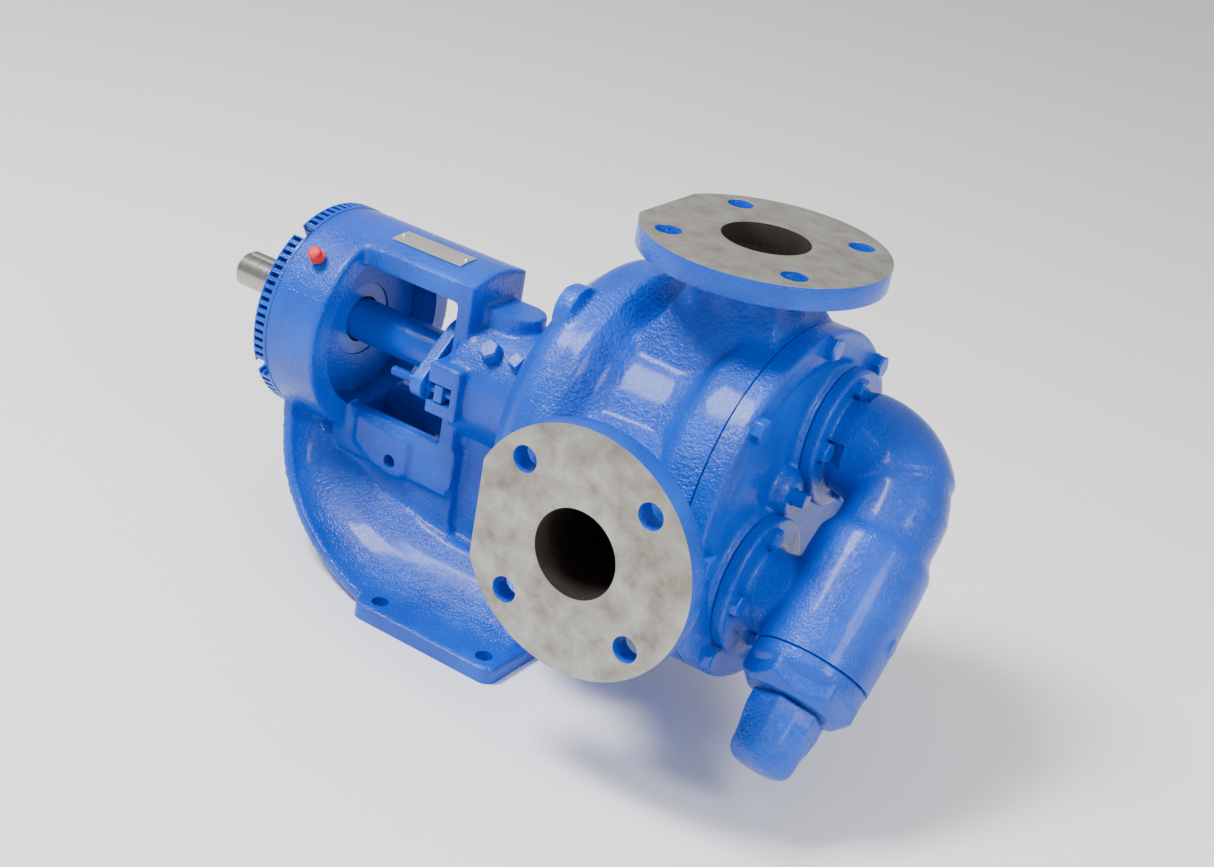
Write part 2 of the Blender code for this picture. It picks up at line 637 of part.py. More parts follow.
# ---------------------------------------------------------------- bracket
def apron_station(x, z, half, normal_deg, rise, thick=10.0):
    """Cross-section of the curved back plate: a plate whose middle is filleted up to the web."""
    out = math.radians(normal_deg)
    back = Vector((math.cos(out), 0.0, math.sin(out)))
    inner = Vector((x, 0.0, z))
    outer = inner + back * thick
    web = 34.0
    section = []
    fillet = [(half, 0.0), (web + (half - web) * 0.45, rise * 0.12), (web + (half - web) * 0.16, rise * 0.45),
              (web, rise)]
    for side in (-1, 1):
        steps = fillet if side < 0 else list(reversed(fillet))
        for offset, lift in steps:
            point = inner - back * lift
            section.append((point.x * MM, side * offset * MM, point.z * MM))
    section.append((outer.x * MM, half * MM, outer.z * MM))
    section.append((outer.x * MM, -half * MM, outer.z * MM))
    return section


APRON = [
    # inner surface x and z, half width, direction of the outer side, rise of the fillet
    (-352.0, -45.0, 61.0, 180.0, 4.0),
    (-351.0, -75.0, 61.0, 184.0, 8.0),
    (-345.0, -98.0, 65.0, 202.0, 18.0),
    (-332.0, -120.0, 72.0, 218.0, 28.0),
    (-309.0, -139.0, 81.0, 236.0, 36.0),
    (-280.0, -153.0, 91.0, 250.0, 38.0),
    (-250.0, -161.0, 100.0, 260.0, 38.0),
    (-222.0, -165.0, 107.0, 268.0, 36.0),
    (-160.0, -166.5, 109.0, 270.0, 34.0),
    (-100.0, -167.0, 109.0, 270.0, 30.0),
]


def make_apron():
    builder = bmesh.new()
    rings = [[builder.verts.new(point) for point in apron_station(*station)] for station in APRON]
    for near, far in zip(rings, rings[1:]):
        for step in range(len(near)):
            after = (step + 1) % len(near)
            builder.faces.new((near[step], near[after], far[after], far[step]))
    builder.faces.new(rings[0])
    builder.faces.new(rings[-1])
    return new_object("apron", builder, PAINT)


def frame_outline():
    """Side view of the bracket between the barrel and the foot, as (x, z) points."""
    top = 78.0 * MM
    return [
        (-330 * MM, top), (WALL_END_X, top), (WALL_END_X, -97 * MM), (-97 * MM, -97 * MM),
        (-97 * MM, -170 * MM), (-226 * MM, -170 * MM), (-256 * MM, -164 * MM), (-284 * MM, -156 * MM),
        (-313 * MM, -142 * MM), (-337 * MM, -122 * MM), (-352 * MM, -99 * MM), (-358 * MM, -70 * MM),
        (-358 * MM, -40 * MM), (-330 * MM, -40 * MM),
    ]


def beam_outline():
    """Section of the top beam: flat sides and a top that carries on the barrel's round."""
    edge = math.degrees(math.asin(FRAME_HALF / BARREL_R))
    return [(FRAME_HALF, 70 * MM)] + arc((0, 0), BARREL_R, 90 - edge, 90 + edge, 8) + [(-FRAME_HALF, 70 * MM)]


def make_bracket():
    bracket = turned("bracket", [
        (BRACKET_FACE_X, 15 * MM),
        (BRACKET_FACE_X, 131.0 * MM),
        (-98.0 * MM, 131.0 * MM),
        (-104.0 * MM, 128.0 * MM),
        (-117.0 * MM, 116.0 * MM),
        (-130.0 * MM, 97.0 * MM),
        (-140.0 * MM, 76.0 * MM),
        (-147.0 * MM, 58.0 * MM),
        (-154.0 * MM, NECK_R),
        (NECK_END_X, NECK_R),
        (NECK_END_X, 15 * MM),
    ], PAINT, 36)
    beam = extruded("beam_top", beam_outline(), -330 * MM, WALL_END_X, PAINT)
    frame = extruded("frame_side", frame_outline(), -FRAME_HALF, FRAME_HALF, PAINT, "y")
    barrel = turned("barrel", [(BARREL_X[0], 50 * MM), (BARREL_X[1], 50 * MM), (BARREL_X[1], BARREL_R),
                               (BARREL_X[0], BARREL_R)], PAINT, 36)
    narrow_web = box("narrow_web", (WALL_END_X - 2 * MM, -96 * MM), (-24 * MM, 24 * MM),
                     (-100 * MM, -30 * MM), PAINT)
    side_panels = box("side_panels", (-192 * MM, -150 * MM), (-41 * MM, 41 * MM), (-23 * MM, 21 * MM), PAINT)
    lug_blocks = box("lug_blocks", (-226 * MM, -195 * MM), (-55 * MM, 55 * MM), (-22 * MM, 20 * MM), PAINT)
    foot = extruded("foot", rounded_rectangle(FOOT_X, (-FOOT_HALF_WIDTH, FOOT_HALF_WIDTH), 8 * MM),
                    -SHAFT_HEIGHT, -SHAFT_HEIGHT + FOOT_THICK, PAINT, "z")
    top_boss = extruded("top_boss", [(-214 * MM, -19 * MM), (-186 * MM, -19 * MM)]
                        + arc((-186 * MM, 0), 19 * MM, -70, 70, 6) + [(-186 * MM, 19 * MM), (-214 * MM, 19 * MM)],
                        30 * MM, 60 * MM, PAINT, "z")
    ear_pads = extruded("ear_pads", rounded_rectangle((-300 * MM, -249 * MM), (-101 * MM, -62 * MM), 10 * MM),
                        -FRAME_HALF - 3 * MM, FRAME_HALF + 3 * MM, PAINT, "y")
    join_on(bracket, frame, beam, barrel, make_apron(), foot, narrow_web, side_panels, lug_blocks, top_boss,
            ear_pads)

    window = box("window_tool", WINDOW_X, (-60 * MM, 60 * MM), WINDOW_Z, PAINT)
    trough = box("trough_tool", (WINDOW_X[0] - 6 * MM, WINDOW_X[1]), (-24 * MM, 24 * MM),
                 (-84 * MM, -50 * MM), PAINT)
    mouth = cutter_along("mouth_tool", "x", (0, 0), BARREL_MOUTH_R, -340 * MM, BARREL_X[1] + 3 * MM, 32)
    barrel_bore = cutter_along("barrel_bore_tool", "x", (0, 0), BARREL_BORE_R, -380 * MM, -338 * MM, 32)
    stuffing = cutter_along("stuffing_tool", "x", (0, 0), PACKING_BORE_R + GAP, -240 * MM, -132 * MM, 24)
    bushing = cutter_along("bushing_tool", "x", (0, 0), 23.3 * MM, -140 * MM, -80 * MM, 24)
    cut_from(bracket, window, trough, mouth, barrel_bore, stuffing, bushing)

    tools = []
    stud_tools = []
    for x in FOOT_HOLE_X:
        for y in (-FOOT_HOLE_Y, FOOT_HOLE_Y):
            tools.append(cutter_along(f"foot_hole_{x:.3f}_{y:.3f}", "z", (x, y), FOOT_HOLE_R,
                                      -190 * MM, -150 * MM, 12))
    for side in (-1, 1):
        stud_z = side * STUD_Z
        stud_tools.append(cutter_along(f"stud_tool_{side}", "x", (side * STUD_Y, stud_z), STUD_R + GAP,
                                       -215 * MM, -198 * MM, 8))
        tools.append(box(f"slot_tool_{side}", (-240 * MM, -203 * MM),
                         (41.5 * MM, 60 * MM) if side > 0 else (-60 * MM, -41.5 * MM),
                         (stud_z - 7.7 * MM, stud_z + 7.7 * MM), PAINT))
    tools.append(cutter_along("ear_hole_tool", "y", (-266 * MM, -88 * MM), 5.5 * MM, -50 * MM, 50 * MM, 12))
    tools.append(turned("neck_screw_tool", [(-8 * MM, 4.2 * MM), (12 * MM, 4.2 * MM)], PAINT, 12, None,
                        (NECK_SCREW_X, *NECK_SLOPE_POINT), NECK_SLOPE, closed=False))
    cut_from(bracket, joined_cutters("bracket_tools", tools), joined_cutters("stud_tools", stud_tools))
    return bracket


def make_seal_group():
    turned("bracket_bushing", [(-128 * MM, SHAFT_R + 0.2 * MM), (-90 * MM, SHAFT_R + 0.2 * MM),
                               (-90 * MM, 23 * MM), (-128 * MM, 23 * MM)], BRONZE, 24)
    rings = (("packing_ring_inner", -142.0, PACKING), ("lantern_ring", -160.0, BRONZE),
             ("packing_ring_outer", -178.0, PACKING))
    for name, start, finish in rings:
        length = 17.0 * MM
        low, high = start * MM - length / 2, start * MM + length / 2
        turned(name, [(low, SHAFT_R + 0.3 * MM), (high, SHAFT_R + 0.3 * MM), (high, PACKING_BORE_R - 0.1 * MM),
                      (low, PACKING_BORE_R - 0.1 * MM)], finish, 24)

    gland = turned("packing_gland", [
        (-240 * MM, SHAFT_R + 1.0 * MM), (-187.5 * MM, SHAFT_R + 1.0 * MM), (-187.5 * MM, PACKING_BORE_R - 0.3 * MM),
        (-229 * MM, PACKING_BORE_R - 0.3 * MM), (-229 * MM, 33 * MM), (-240 * MM, 33 * MM),
    ], PAINT, 24)
    ear_r = 10.5 * MM
    swing = math.degrees(math.atan2(STUD_Z, STUD_Y))
    outline = []
    for side in (1, -1):
        centre = (side * STUD_Y, side * STUD_Z)
        facing = swing if side > 0 else swing + 180
        outline += arc(centre, ear_r, facing - 62, facing + 62, 6)
        waist = math.radians(facing + 90)
        outline.append((38 * MM * math.cos(waist), 38 * MM * math.sin(waist)))
    ears = extruded("gland_ears", outline, -239.6 * MM, -229.4 * MM, PAINT)
    join_on(gland, ears)
    gland_bore = cutter_along("gland_bore_tool", "x", (0, 0), SHAFT_R + 1.0 * MM, -250 * MM, -180 * MM, 24)
    stud_holes = [cutter_along(f"gland_hole_{side}", "x", (side * STUD_Y, side * STUD_Z), STUD_R + 0.6 * MM,
                               -250 * MM, -220 * MM, 8) for side in (-1, 1)]
    cut_from(gland, gland_bore, joined_cutters("gland_holes", stud_holes))
    for side, label in ((-1, "near"), (1, "far")):
        turned(f"gland_stud_{label}", [(-264 * MM, STUD_R - 0.8 * MM), (-263 * MM, STUD_R), (-198.6 * MM, STUD_R)],
               STEEL, 8, location=(0, side * STUD_Y, side * STUD_Z), closed=False)
        turned(f"gland_nut_{label}", [(-219 * MM, STUD_R + 0.3 * MM), (-211 * MM, STUD_R + 0.3 * MM),
                                      (-211 * MM, 6.9 * MM, "square"), (-219 * MM, 6.9 * MM, "square")],
               STEEL, 8, location=(0, side * STUD_Y, side * STUD_Z), rotation=(math.pi / 4, 0, 0))


def make_bracket_trim():
    low, high = -304.5 * MM, -237.0 * MM
    outer, inner = BARREL_R + 1.0 * MM, BARREL_R + 0.25 * MM
    outline = arc((0, 0), outer, 88.5, 103, 4) + list(reversed(arc((0, 0), inner, 88.5, 103, 4)))
    extruded("nameplate", outline, low, high, PLATE)

    tilt = math.radians(43)
    place = (-340 * MM, -(BARREL_R + GAP) * math.sin(tilt), (BARREL_R + GAP) * math.cos(tilt))
    pose = Matrix.Rotation(tilt, 4, "X") @ Matrix.Rotation(-math.pi / 2, 4, "Y")
    turned("grease_fitting", [(0.2 * MM, 5.0 * MM, "hex"), (4.0 * MM, 5.0 * MM, "hex"),
                                        (4.0 * MM, 2.6 * MM), (9.0 * MM, 2.2 * MM)], STEEL, 12, None, place,
                     pose.to_euler(), closed=False)
    turned("grease_fitting_cap", [(4.4 * MM, 2.9 * MM), (9.4 * MM, 2.5 * MM), (9.4 * MM, 1.0 * MM),
                                  (12.5 * MM, 1.0 * MM), (12.5 * MM, 5.0 * MM), (10.5 * MM, 6.6 * MM),
                                  (4.4 * MM, 6.6 * MM)], RED_PLASTIC, 16, None, place, pose.to_euler())
    capscrew("neck_capscrew", (NECK_SCREW_X, *NECK_SLOPE_POINT), NECK_SLOPE, 14.3 * MM, 8.0 * MM, 3.7 * MM,
             6 * MM)
    square_plug("neck_plug", (-159.8 * MM, *NECK_SLOPE_POINT), NECK_SLOPE, 5.2 * MM, 9.6 * MM, -0.2 * MM,
                8.5 * MM)


# ---------------------------------------------------------------- relief valve
def swept_round(name, stations, radius, finish, segments, parent):
    """A round bar along (centre, side, other side) stations, closed by flat ends."""
    builder = bmesh.new()
    rings = []
    for centre, side, other in stations:
        ring = []
        for step in range(segments):
            angle = 2 * math.pi * step / segments
            ring.append(builder.verts.new(centre + radius * (math.cos(angle) * side + math.sin(angle) * other)))
        rings.append(ring)
    for near, far in zip(rings, rings[1:]):
        for step in range(segments):
            after = (step + 1) % segments
            builder.faces.new((near[step], near[after], far[after], far[step]))
    builder.faces.new(rings[0])
    builder.faces.new(rings[-1])
    return new_object(name, builder, finish, parent)


def elbow_solid(name, pipe_r, bend_r, start_x, lower_end, segments=24):
    """A bent pipe: out from the head, round the bend, then down the valve axis."""
    across = Vector((0.0, 0.0, 1.0))
    stations = [(Vector((-VALVE_PORT, start_x - VALVE_X, 0.0)), Vector((1.0, 0.0, 0.0)), across)]
    turns = 7
    for step in range(turns + 1):
        swing = math.pi / 2 * step / turns
        centre = Vector((-VALVE_PORT + bend_r * (1 - math.cos(swing)), -bend_r + bend_r * math.sin(swing), 0.0))
        stations.append((centre, Vector((math.cos(swing), -math.sin(swing), 0.0)), across))
    stations.append((Vector((lower_end, 0.0, 0.0)), Vector((0.0, -1.0, 0.0)), across))
    return swept_round(name, stations, pipe_r, PAINT, segments, VALVE_AXIS)


def valve_flange(name, along, neck_r):
    """A round flange against the head with the neck that joins it to the valve, along +X."""
    low, high = (value - VALVE_X for value in VALVE_FLANGE_X)
    profile = [(low, VALVE_FLANGE_R), (high, VALVE_FLANGE_R), (high, neck_r), (-12 * MM, neck_r)]
    return turned(name, profile, PAINT, 28, VALVE_AXIS, (along, 0, 0), (PHASE, 0, math.pi / 2), closed=False)


def make_valve_body():
    body = turned("valve_body", [
        (-22 * MM, 37 * MM), (-8 * MM, 40 * MM), (6 * MM, VALVE_BODY_R - 0.8 * MM), (60 * MM, VALVE_BODY_R),
        (VALVE_BODY_END, VALVE_BODY_R - 0.8 * MM),
    ], PAINT, 32, VALVE_AXIS, closed=False)
    outside = [
        elbow_solid("elbow", 37.5 * MM, 46 * MM, VALVE_FLANGE_X[1] - 3 * MM, 0.0, 24),
        valve_flange("upper_valve_flange", -VALVE_PORT, 34 * MM),
        valve_flange("lower_valve_flange", VALVE_PORT, 31 * MM),
    ]
    join_on(body, *outside)
    chamber = turned("chamber_tool", [(14 * MM, VALVE_BORE_R), (VALVE_BODY_END + 10 * MM, VALVE_BORE_R)],
                     PAINT, 24, VALVE_AXIS, closed=False)
    throat = elbow_solid("throat_tool", VALVE_SEAT_R, 46 * MM, 50 * MM, 20 * MM, 16)
    outlet = turned("outlet_tool", [(50 * MM - VALVE_X, 20 * MM), (0.0, 20 * MM)], PAINT, 16, VALVE_AXIS,
                    (VALVE_PORT, 0, 0), (0, 0, math.pi / 2), closed=False)
    cut_from(body, chamber, throat, outlet)
    holes = []
    seats = []
    for side in (-1, 1):
        for along in (-1, 1):
            for across in (-1, 1):
                place = valve_bolt_place(side, along, across)
                holes.append(cutter_along(f"valve_hole_{side}_{along}_{across}", "x", place, 5.2 * MM,
                                          55 * MM, VALVE_FLANGE_X[1] + 6 * MM, 8))
                seats.append(cutter_along(f"valve_seat_{side}_{along}_{across}", "x", place, 9.6 * MM,
                                          VALVE_FLANGE_X[1], VALVE_FLANGE_X[1] + 16 * MM, 12))
    cut_from(body, joined_cutters("valve_holes", holes), joined_cutters("valve_bolt_seats", seats))
    return body


def make_valve_inside():
    turned("valve_poppet", [
        (8 * MM, 20 * MM), (10 * MM, 21.4 * MM), (14.4 * MM, 21.4 * MM), (14.4 * MM, 30 * MM),
        (32 * MM, 30 * MM), (32 * MM, 20.5 * MM), (19 * MM, 20.5 * MM),
    ], STEEL, 24, VALVE_AXIS, closed=False)
    coil_r, wire_r, turns, per_turn = 16.5 * MM, 2.4 * MM, 5, 12
    low, high = 19.3 * MM + wire_r, 84.3 * MM - wire_r
    stations = []
    for step in range(turns * per_turn + 1):
        angle = 2 * math.pi * step / per_turn
        outward = Vector((0.0, math.cos(angle), math.sin(angle)))
        centre = Vector((low + (high - low) * step / (turns * per_turn), 0.0, 0.0)) + coil_r * outward
        stations.append((centre, outward, Vector((1.0, 0.0, 0.0))))
    swept_round("valve_spring", stations, wire_r, STEEL, 5, VALVE_AXIS)
    turned("valve_spring_guide", [(80 * MM, 12.5 * MM), (84.6 * MM, 12.5 * MM), (84.6 * MM, 24 * MM),
                                  (89 * MM, 24 * MM), (89 * MM, 8 * MM)], STEEL, 16, VALVE_AXIS, closed=False)
    turned("valve_adjusting_screw", [(89.3 * MM, 7.2 * MM), (164 * MM, 7.2 * MM), (165 * MM, 6.2 * MM)],
           STEEL, 12, VALVE_AXIS, closed=False)
    turned("valve_adjusting_locknut", [(131.3 * MM, 7.5 * MM), (140 * MM, 7.5 * MM), (140 * MM, 12 * MM, "hex"),
                                       (131.3 * MM, 12 * MM, "hex")], STEEL, 12, VALVE_AXIS)


def make_valve_cover():
    seam = VALVE_BODY_END + 0.5 * MM
    bonnet = turned("valve_bonnet", [
        (seam - 8 * MM, 27 * MM), (116 * MM, 25.5 * MM), (116 * MM, 7.6 * MM), (131 * MM, 7.6 * MM),
        (131 * MM, 26 * MM), (127.5 * MM, 30 * MM), (121 * MM, 38.5 * MM), (112 * MM, 41.5 * MM),
        (seam, 41.5 * MM), (seam, VALVE_BORE_R - 0.5 * MM), (seam - 8 * MM, VALVE_BORE_R - 0.5 * MM),
    ], PAINT, 24, VALVE_AXIS)
    flats = []
    for index in range(6):
        flats.append(box(f"bonnet_flat_{index}", (112.5 * MM, 140 * MM), (-40 * MM, 40 * MM),
                         (36.5 * MM, 60 * MM), PAINT, VALVE_AXIS, rotation=(math.radians(60 * index), 0, 0)))
    cut_from(bonnet, joined_cutters("bonnet_flats", flats))
    turned("valve_cap", [
        (170 * MM, 15 * MM), (169 * MM, 16 * MM), (131.4 * MM, 16 * MM), (131.4 * MM, 23.9 * MM, "hex"),
        (142 * MM, 23.9 * MM, "hex"), (142.4 * MM, 24.5 * MM), (169 * MM, 24.3 * MM), (175.5 * MM, 21.5 * MM),
        (179 * MM, 14 * MM),
    ], PAINT, 24, VALVE_AXIS, closed=False)


def make_valve():
    make_valve_body()
    make_valve_inside()
    make_valve_cover()
    for side, label in ((-1, "upper"), (1, "lower")):
        centre = valve_port_centre(side)
        gasket_ring(f"valve_gasket_{label}", VALVE_FLANGE_X[0] - GAP - GASKET_THICK, 21 * MM, 33 * MM, 20, centre)
        number = 0
        for along in (-1, 1):
            for across in (-1, 1):
                number += 1
                place = valve_bolt_place(side, along, across)
                capscrew(f"valve_{label}_capscrew_{number}", (VALVE_FLANGE_X[1], place[0], place[1]),
                         (math.radians(17 * number), 0, 0), 14.3 * MM, 6.6 * MM, 4.7 * MM, 20 * MM)


make_casing()
make_head_side()
make_rotor()
make_idler()
make_shaft()
make_bearing_group()
make_bracket()
make_seal_group()
make_bracket_trim()
make_valve()
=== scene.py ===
"""Looks of an internal gear pump: cast iron bodies in glossy blue enamel, bare machined port faces,
a steel shaft end, a blank nameplate and a red grease cap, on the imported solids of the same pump."""
import math

import bpy
from mathutils import Matrix, Vector


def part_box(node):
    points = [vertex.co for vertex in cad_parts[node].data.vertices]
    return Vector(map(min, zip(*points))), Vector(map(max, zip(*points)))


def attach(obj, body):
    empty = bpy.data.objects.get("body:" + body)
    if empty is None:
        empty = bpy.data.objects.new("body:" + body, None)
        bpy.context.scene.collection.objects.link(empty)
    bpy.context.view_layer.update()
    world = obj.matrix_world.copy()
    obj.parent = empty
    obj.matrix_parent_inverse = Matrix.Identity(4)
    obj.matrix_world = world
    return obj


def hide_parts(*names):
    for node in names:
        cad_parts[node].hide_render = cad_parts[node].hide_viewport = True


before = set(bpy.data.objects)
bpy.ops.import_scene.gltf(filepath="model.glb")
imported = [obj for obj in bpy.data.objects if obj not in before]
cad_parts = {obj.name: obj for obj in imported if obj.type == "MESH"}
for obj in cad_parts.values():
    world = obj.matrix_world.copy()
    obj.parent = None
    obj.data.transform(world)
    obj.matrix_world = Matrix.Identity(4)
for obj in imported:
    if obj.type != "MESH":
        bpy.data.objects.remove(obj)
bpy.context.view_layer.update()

# ================================================================ floor, light and camera
# The pump stands on a wide pale floor under two large soft lights.  Every place below is
# counted in millimetres from the point where the axes of the two ports meet the shaft's axis.
MM = 0.001
PORT_FLANGE_R = 88.9
shaft_low, shaft_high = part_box("shaft")
casing_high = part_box("casing")[1]
PUMP_CENTRE = Vector((casing_high.x - PORT_FLANGE_R * MM, 0.0, (shaft_low.z + shaft_high.z) / 2))


def at(x, y=0.0, z=0.0):
    """A place given in millimetres from the pump's centre."""
    return PUMP_CENTRE + Vector((x, y, z)) * MM


def new_material(name, colour, roughness, metallic=0.0):
    """A material with its shader's own sockets set, ready for nodes that vary it."""
    material = bpy.data.materials.new(name)
    material.use_nodes = True
    shader = material.node_tree.nodes["Principled BSDF"]
    shader.inputs["Base Color"].default_value = (*colour, 1.0)
    shader.inputs["Roughness"].default_value = roughness
    shader.inputs["Metallic"].default_value = metallic
    return material, material.node_tree.nodes, material.node_tree.links, shader


bpy.ops.object.select_all(action="DESELECT")
bpy.ops.mesh.primitive_plane_add(size=40, location=(0, 0, 0))
floor = bpy.context.object
floor.name = "floor"
floor_paint = new_material("pale_floor", (0.95, 0.95, 0.94), 0.38)[0]
floor.data.materials.append(floor_paint)

world = bpy.data.worlds.new("studio")
bpy.context.scene.world = world
world.use_nodes = True
world.node_tree.nodes["Background"].inputs["Color"].default_value = (1.0, 1.0, 1.0, 1.0)
world.node_tree.nodes["Background"].inputs["Strength"].default_value = 0.62


def soft_light(name, place, target, size, power):
    """A square studio light that faces the target."""
    light = bpy.data.lights.new(name, "AREA")
    light.size = size
    light.energy = power
    lamp = bpy.data.objects.new(name, light)
    bpy.context.scene.collection.objects.link(lamp)
    lamp.location = place
    lamp.rotation_euler = (Vector(target) - Vector(place)).to_track_quat("-Z", "Y").to_euler()


soft_light("key_light", (-0.9, -0.9, 2.4), (0.05, 0.0, 0.2), 0.7, 105)
soft_light("side_light", (1.9, -0.7, 1.5), (0.1, 0.0, 0.2), 0.6, 30)

CAMERA_AZIMUTH, CAMERA_ELEVATION, CAMERA_ROLL = 29.59, 24.84, 10.33
camera_data = bpy.data.cameras.new("camera")
camera_data.lens = 55.75
camera_data.sensor_width = 36.0
camera = bpy.data.objects.new("camera", camera_data)
bpy.context.scene.collection.objects.link(camera)
camera.matrix_world = (
    Matrix.Translation(at(535.93, -1112.85, 586.30))
    @ Matrix.Rotation(math.radians(CAMERA_AZIMUTH), 4, "Z")
    @ Matrix.Rotation(math.radians(90.0 - CAMERA_ELEVATION), 4, "X")
    @ Matrix.Rotation(math.radians(CAMERA_ROLL), 4, "Z"))
bpy.context.scene.camera = camera

# ================================================================ pump casing
# One grey iron sand casting: two bolting rims, a waist, and a square-shouldered neck up to each
# port.  It is bored through for the rotor, and its end faces are turned flat.
TO_HEAD = Matrix.Rotation(math.radians(90), 4, "Y")
TO_SIDE_PORT = Matrix.Rotation(math.radians(90), 4, "X")
TO_TOP_PORT = Matrix.Identity(4)


def build_cast_skin():
    """Node group: the pebbled surface that a sand mould leaves under enamel, and its broad waves."""
    group = bpy.data.node_groups.new("cast skin", "ShaderNodeTree")
    group.interface.new_socket("Grain Size", in_out="INPUT", socket_type="NodeSocketFloat")
    group.interface.new_socket("Pebble", in_out="INPUT", socket_type="NodeSocketFloat")
    group.interface.new_socket("Wave", in_out="INPUT", socket_type="NodeSocketFloat")
    group.interface.new_socket("Height", in_out="OUTPUT", socket_type="NodeSocketFloat")
    group.interface.new_socket("Blotch", in_out="OUTPUT", socket_type="NodeSocketFloat")
    inputs = group.nodes.new("NodeGroupInput")
    outputs = group.nodes.new("NodeGroupOutput")
    place = group.nodes.new("ShaderNodeTexCoord")
    pebble = group.nodes.new("ShaderNodeTexNoise")
    pebble.inputs["Detail"].default_value = 2.5
    pebble.inputs["Roughness"].default_value = 0.55
    wave = group.nodes.new("ShaderNodeTexNoise")
    wave.inputs["Scale"].default_value = 95.0
    wave.inputs["Detail"].default_value = 2.0
    blotch = group.nodes.new("ShaderNodeTexNoise")
    blotch.inputs["Scale"].default_value = 22.0
    blotch.inputs["Detail"].default_value = 4.0
    pebble_part = group.nodes.new("ShaderNodeMath")
    pebble_part.operation = "MULTIPLY"
    both = group.nodes.new("ShaderNodeMath")
    both.operation = "MULTIPLY_ADD"
    tie = group.links.new
    tie(place.outputs["Object"], pebble.inputs["Vector"])
    tie(place.outputs["Object"], wave.inputs["Vector"])
    tie(place.outputs["Object"], blotch.inputs["Vector"])
    tie(inputs.outputs["Grain Size"], pebble.inputs["Scale"])
    tie(pebble.outputs["Fac"], pebble_part.inputs[0])
    tie(inputs.outputs["Pebble"], pebble_part.inputs[1])
    tie(wave.outputs["Fac"], both.inputs[0])
    tie(inputs.outputs["Wave"], both.inputs[1])
    tie(pebble_part.outputs["Value"], both.inputs[2])
    tie(both.outputs["Value"], outputs.inputs["Height"])
    tie(blotch.outputs["Fac"], outputs.inputs["Blotch"])
    return group


CAST_SKIN = build_cast_skin()


def add_skin(nodes, grain, pebble, wave):
    """The cast skin group in one material, with that material's own values."""
    skin = nodes.new("ShaderNodeGroup")
    skin.node_tree = CAST_SKIN
    skin.inputs["Grain Size"].default_value = grain
    skin.inputs["Pebble"].default_value = pebble
    skin.inputs["Wave"].default_value = wave
    return skin


def add_ramp(nodes, links, source, stops):
    """A colour ramp over a 0 to 1 value, with (position, colour) stops."""
    ramp = nodes.new("ShaderNodeValToRGB")
    first, last = ramp.color_ramp.elements
    first.position, first.color = stops[0][0], (*stops[0][1], 1.0)
    last.position, last.color = stops[-1][0], (*stops[-1][1], 1.0)
    for position, colour in stops[1:-1]:
        ramp.color_ramp.elements.new(position).color = (*colour, 1.0)
    links.new(source, ramp.inputs["Fac"])
    return ramp


def add_range(nodes, links, source, low, high):
    """A 0.3 to 0.7 noise value spread over a range that a shader socket takes."""
    spread = nodes.new("ShaderNodeMapRange")
    spread.inputs["From Min"].default_value = 0.3
    spread.inputs["From Max"].default_value = 0.7
    spread.inputs["To Min"].default_value = low
    spread.inputs["To Max"].default_value = high
    links.new(source, spread.inputs["Value"])
    return spread


def add_bump(nodes, links, shader, height, depth_mm, strength=1.0):
    """A bump of the given depth under the shader's normal."""
    bump = nodes.new("ShaderNodeBump")
    bump.inputs["Strength"].default_value = strength
    bump.inputs["Distance"].default_value = depth_mm * MM
    links.new(height, bump.inputs["Height"])
    links.new(bump.outputs["Normal"], shader.inputs["Normal"])


def blue_enamel(name, grain, pebble, wave):
    """Glossy blue machine enamel over iron of a given roughness."""
    material, nodes, links, shader = new_material(name, (0.0, 0.105, 0.56), 0.24)
    shader.inputs["Specular IOR Level"].default_value = 0.32
    shader.inputs["Coat Weight"].default_value = 0.12
    shader.inputs["Coat Roughness"].default_value = 0.12
    skin = add_skin(nodes, grain, pebble, wave)
    tint = add_ramp(nodes, links, skin.outputs["Blotch"], [
        (0.3, (0.0, 0.056, 0.45)), (0.55, (0.0, 0.072, 0.55)), (0.75, (0.0, 0.096, 0.64))])
    links.new(tint.outputs["Color"], shader.inputs["Base Color"])
    gloss = add_range(nodes, links, skin.outputs["Blotch"], 0.14, 0.27)
    links.new(gloss.outputs["Result"], shader.inputs["Roughness"])
    add_bump(nodes, links, shader, skin.outputs["Height"], 1.0)
    return material


ROUGH_CAST = blue_enamel("enamel_on_rough_casting", 460.0, 1.6, 1.1)


def turned(name, stations, pose=TO_HEAD, sides=96, centre=None):
    """A round form: a disc drawn out along its own Z and sized at each (distance, radius) station."""
    bpy.ops.object.select_all(action="DESELECT")
    here, radius = stations[0]
    bpy.ops.mesh.primitive_circle_add(vertices=sides, radius=radius * MM, fill_type="NGON",
                                      location=(0, 0, here * MM))
    form = bpy.context.object
    form.name = name
    bpy.ops.object.mode_set(mode="EDIT")
    bpy.ops.mesh.select_all(action="SELECT")
    for distance, wider in stations[1:]:
        bpy.ops.mesh.extrude_region_move(TRANSFORM_OT_translate={"value": (0, 0, (distance - here) * MM)})
        bpy.ops.transform.resize(value=(wider / radius, wider / radius, 1.0),
                                 center_override=(0, 0, distance * MM))
        here, radius = distance, wider
    bpy.ops.mesh.select_all(action="SELECT")
    bpy.ops.mesh.normals_make_consistent(inside=False)
    bpy.ops.object.mode_set(mode="OBJECT")
    bpy.ops.object.transform_apply(location=True, rotation=True, scale=True)
    form.matrix_world = Matrix.Translation(PUMP_CENTRE if centre is None else centre) @ pose
    bpy.ops.object.transform_apply(location=True, rotation=True, scale=True)
    return form


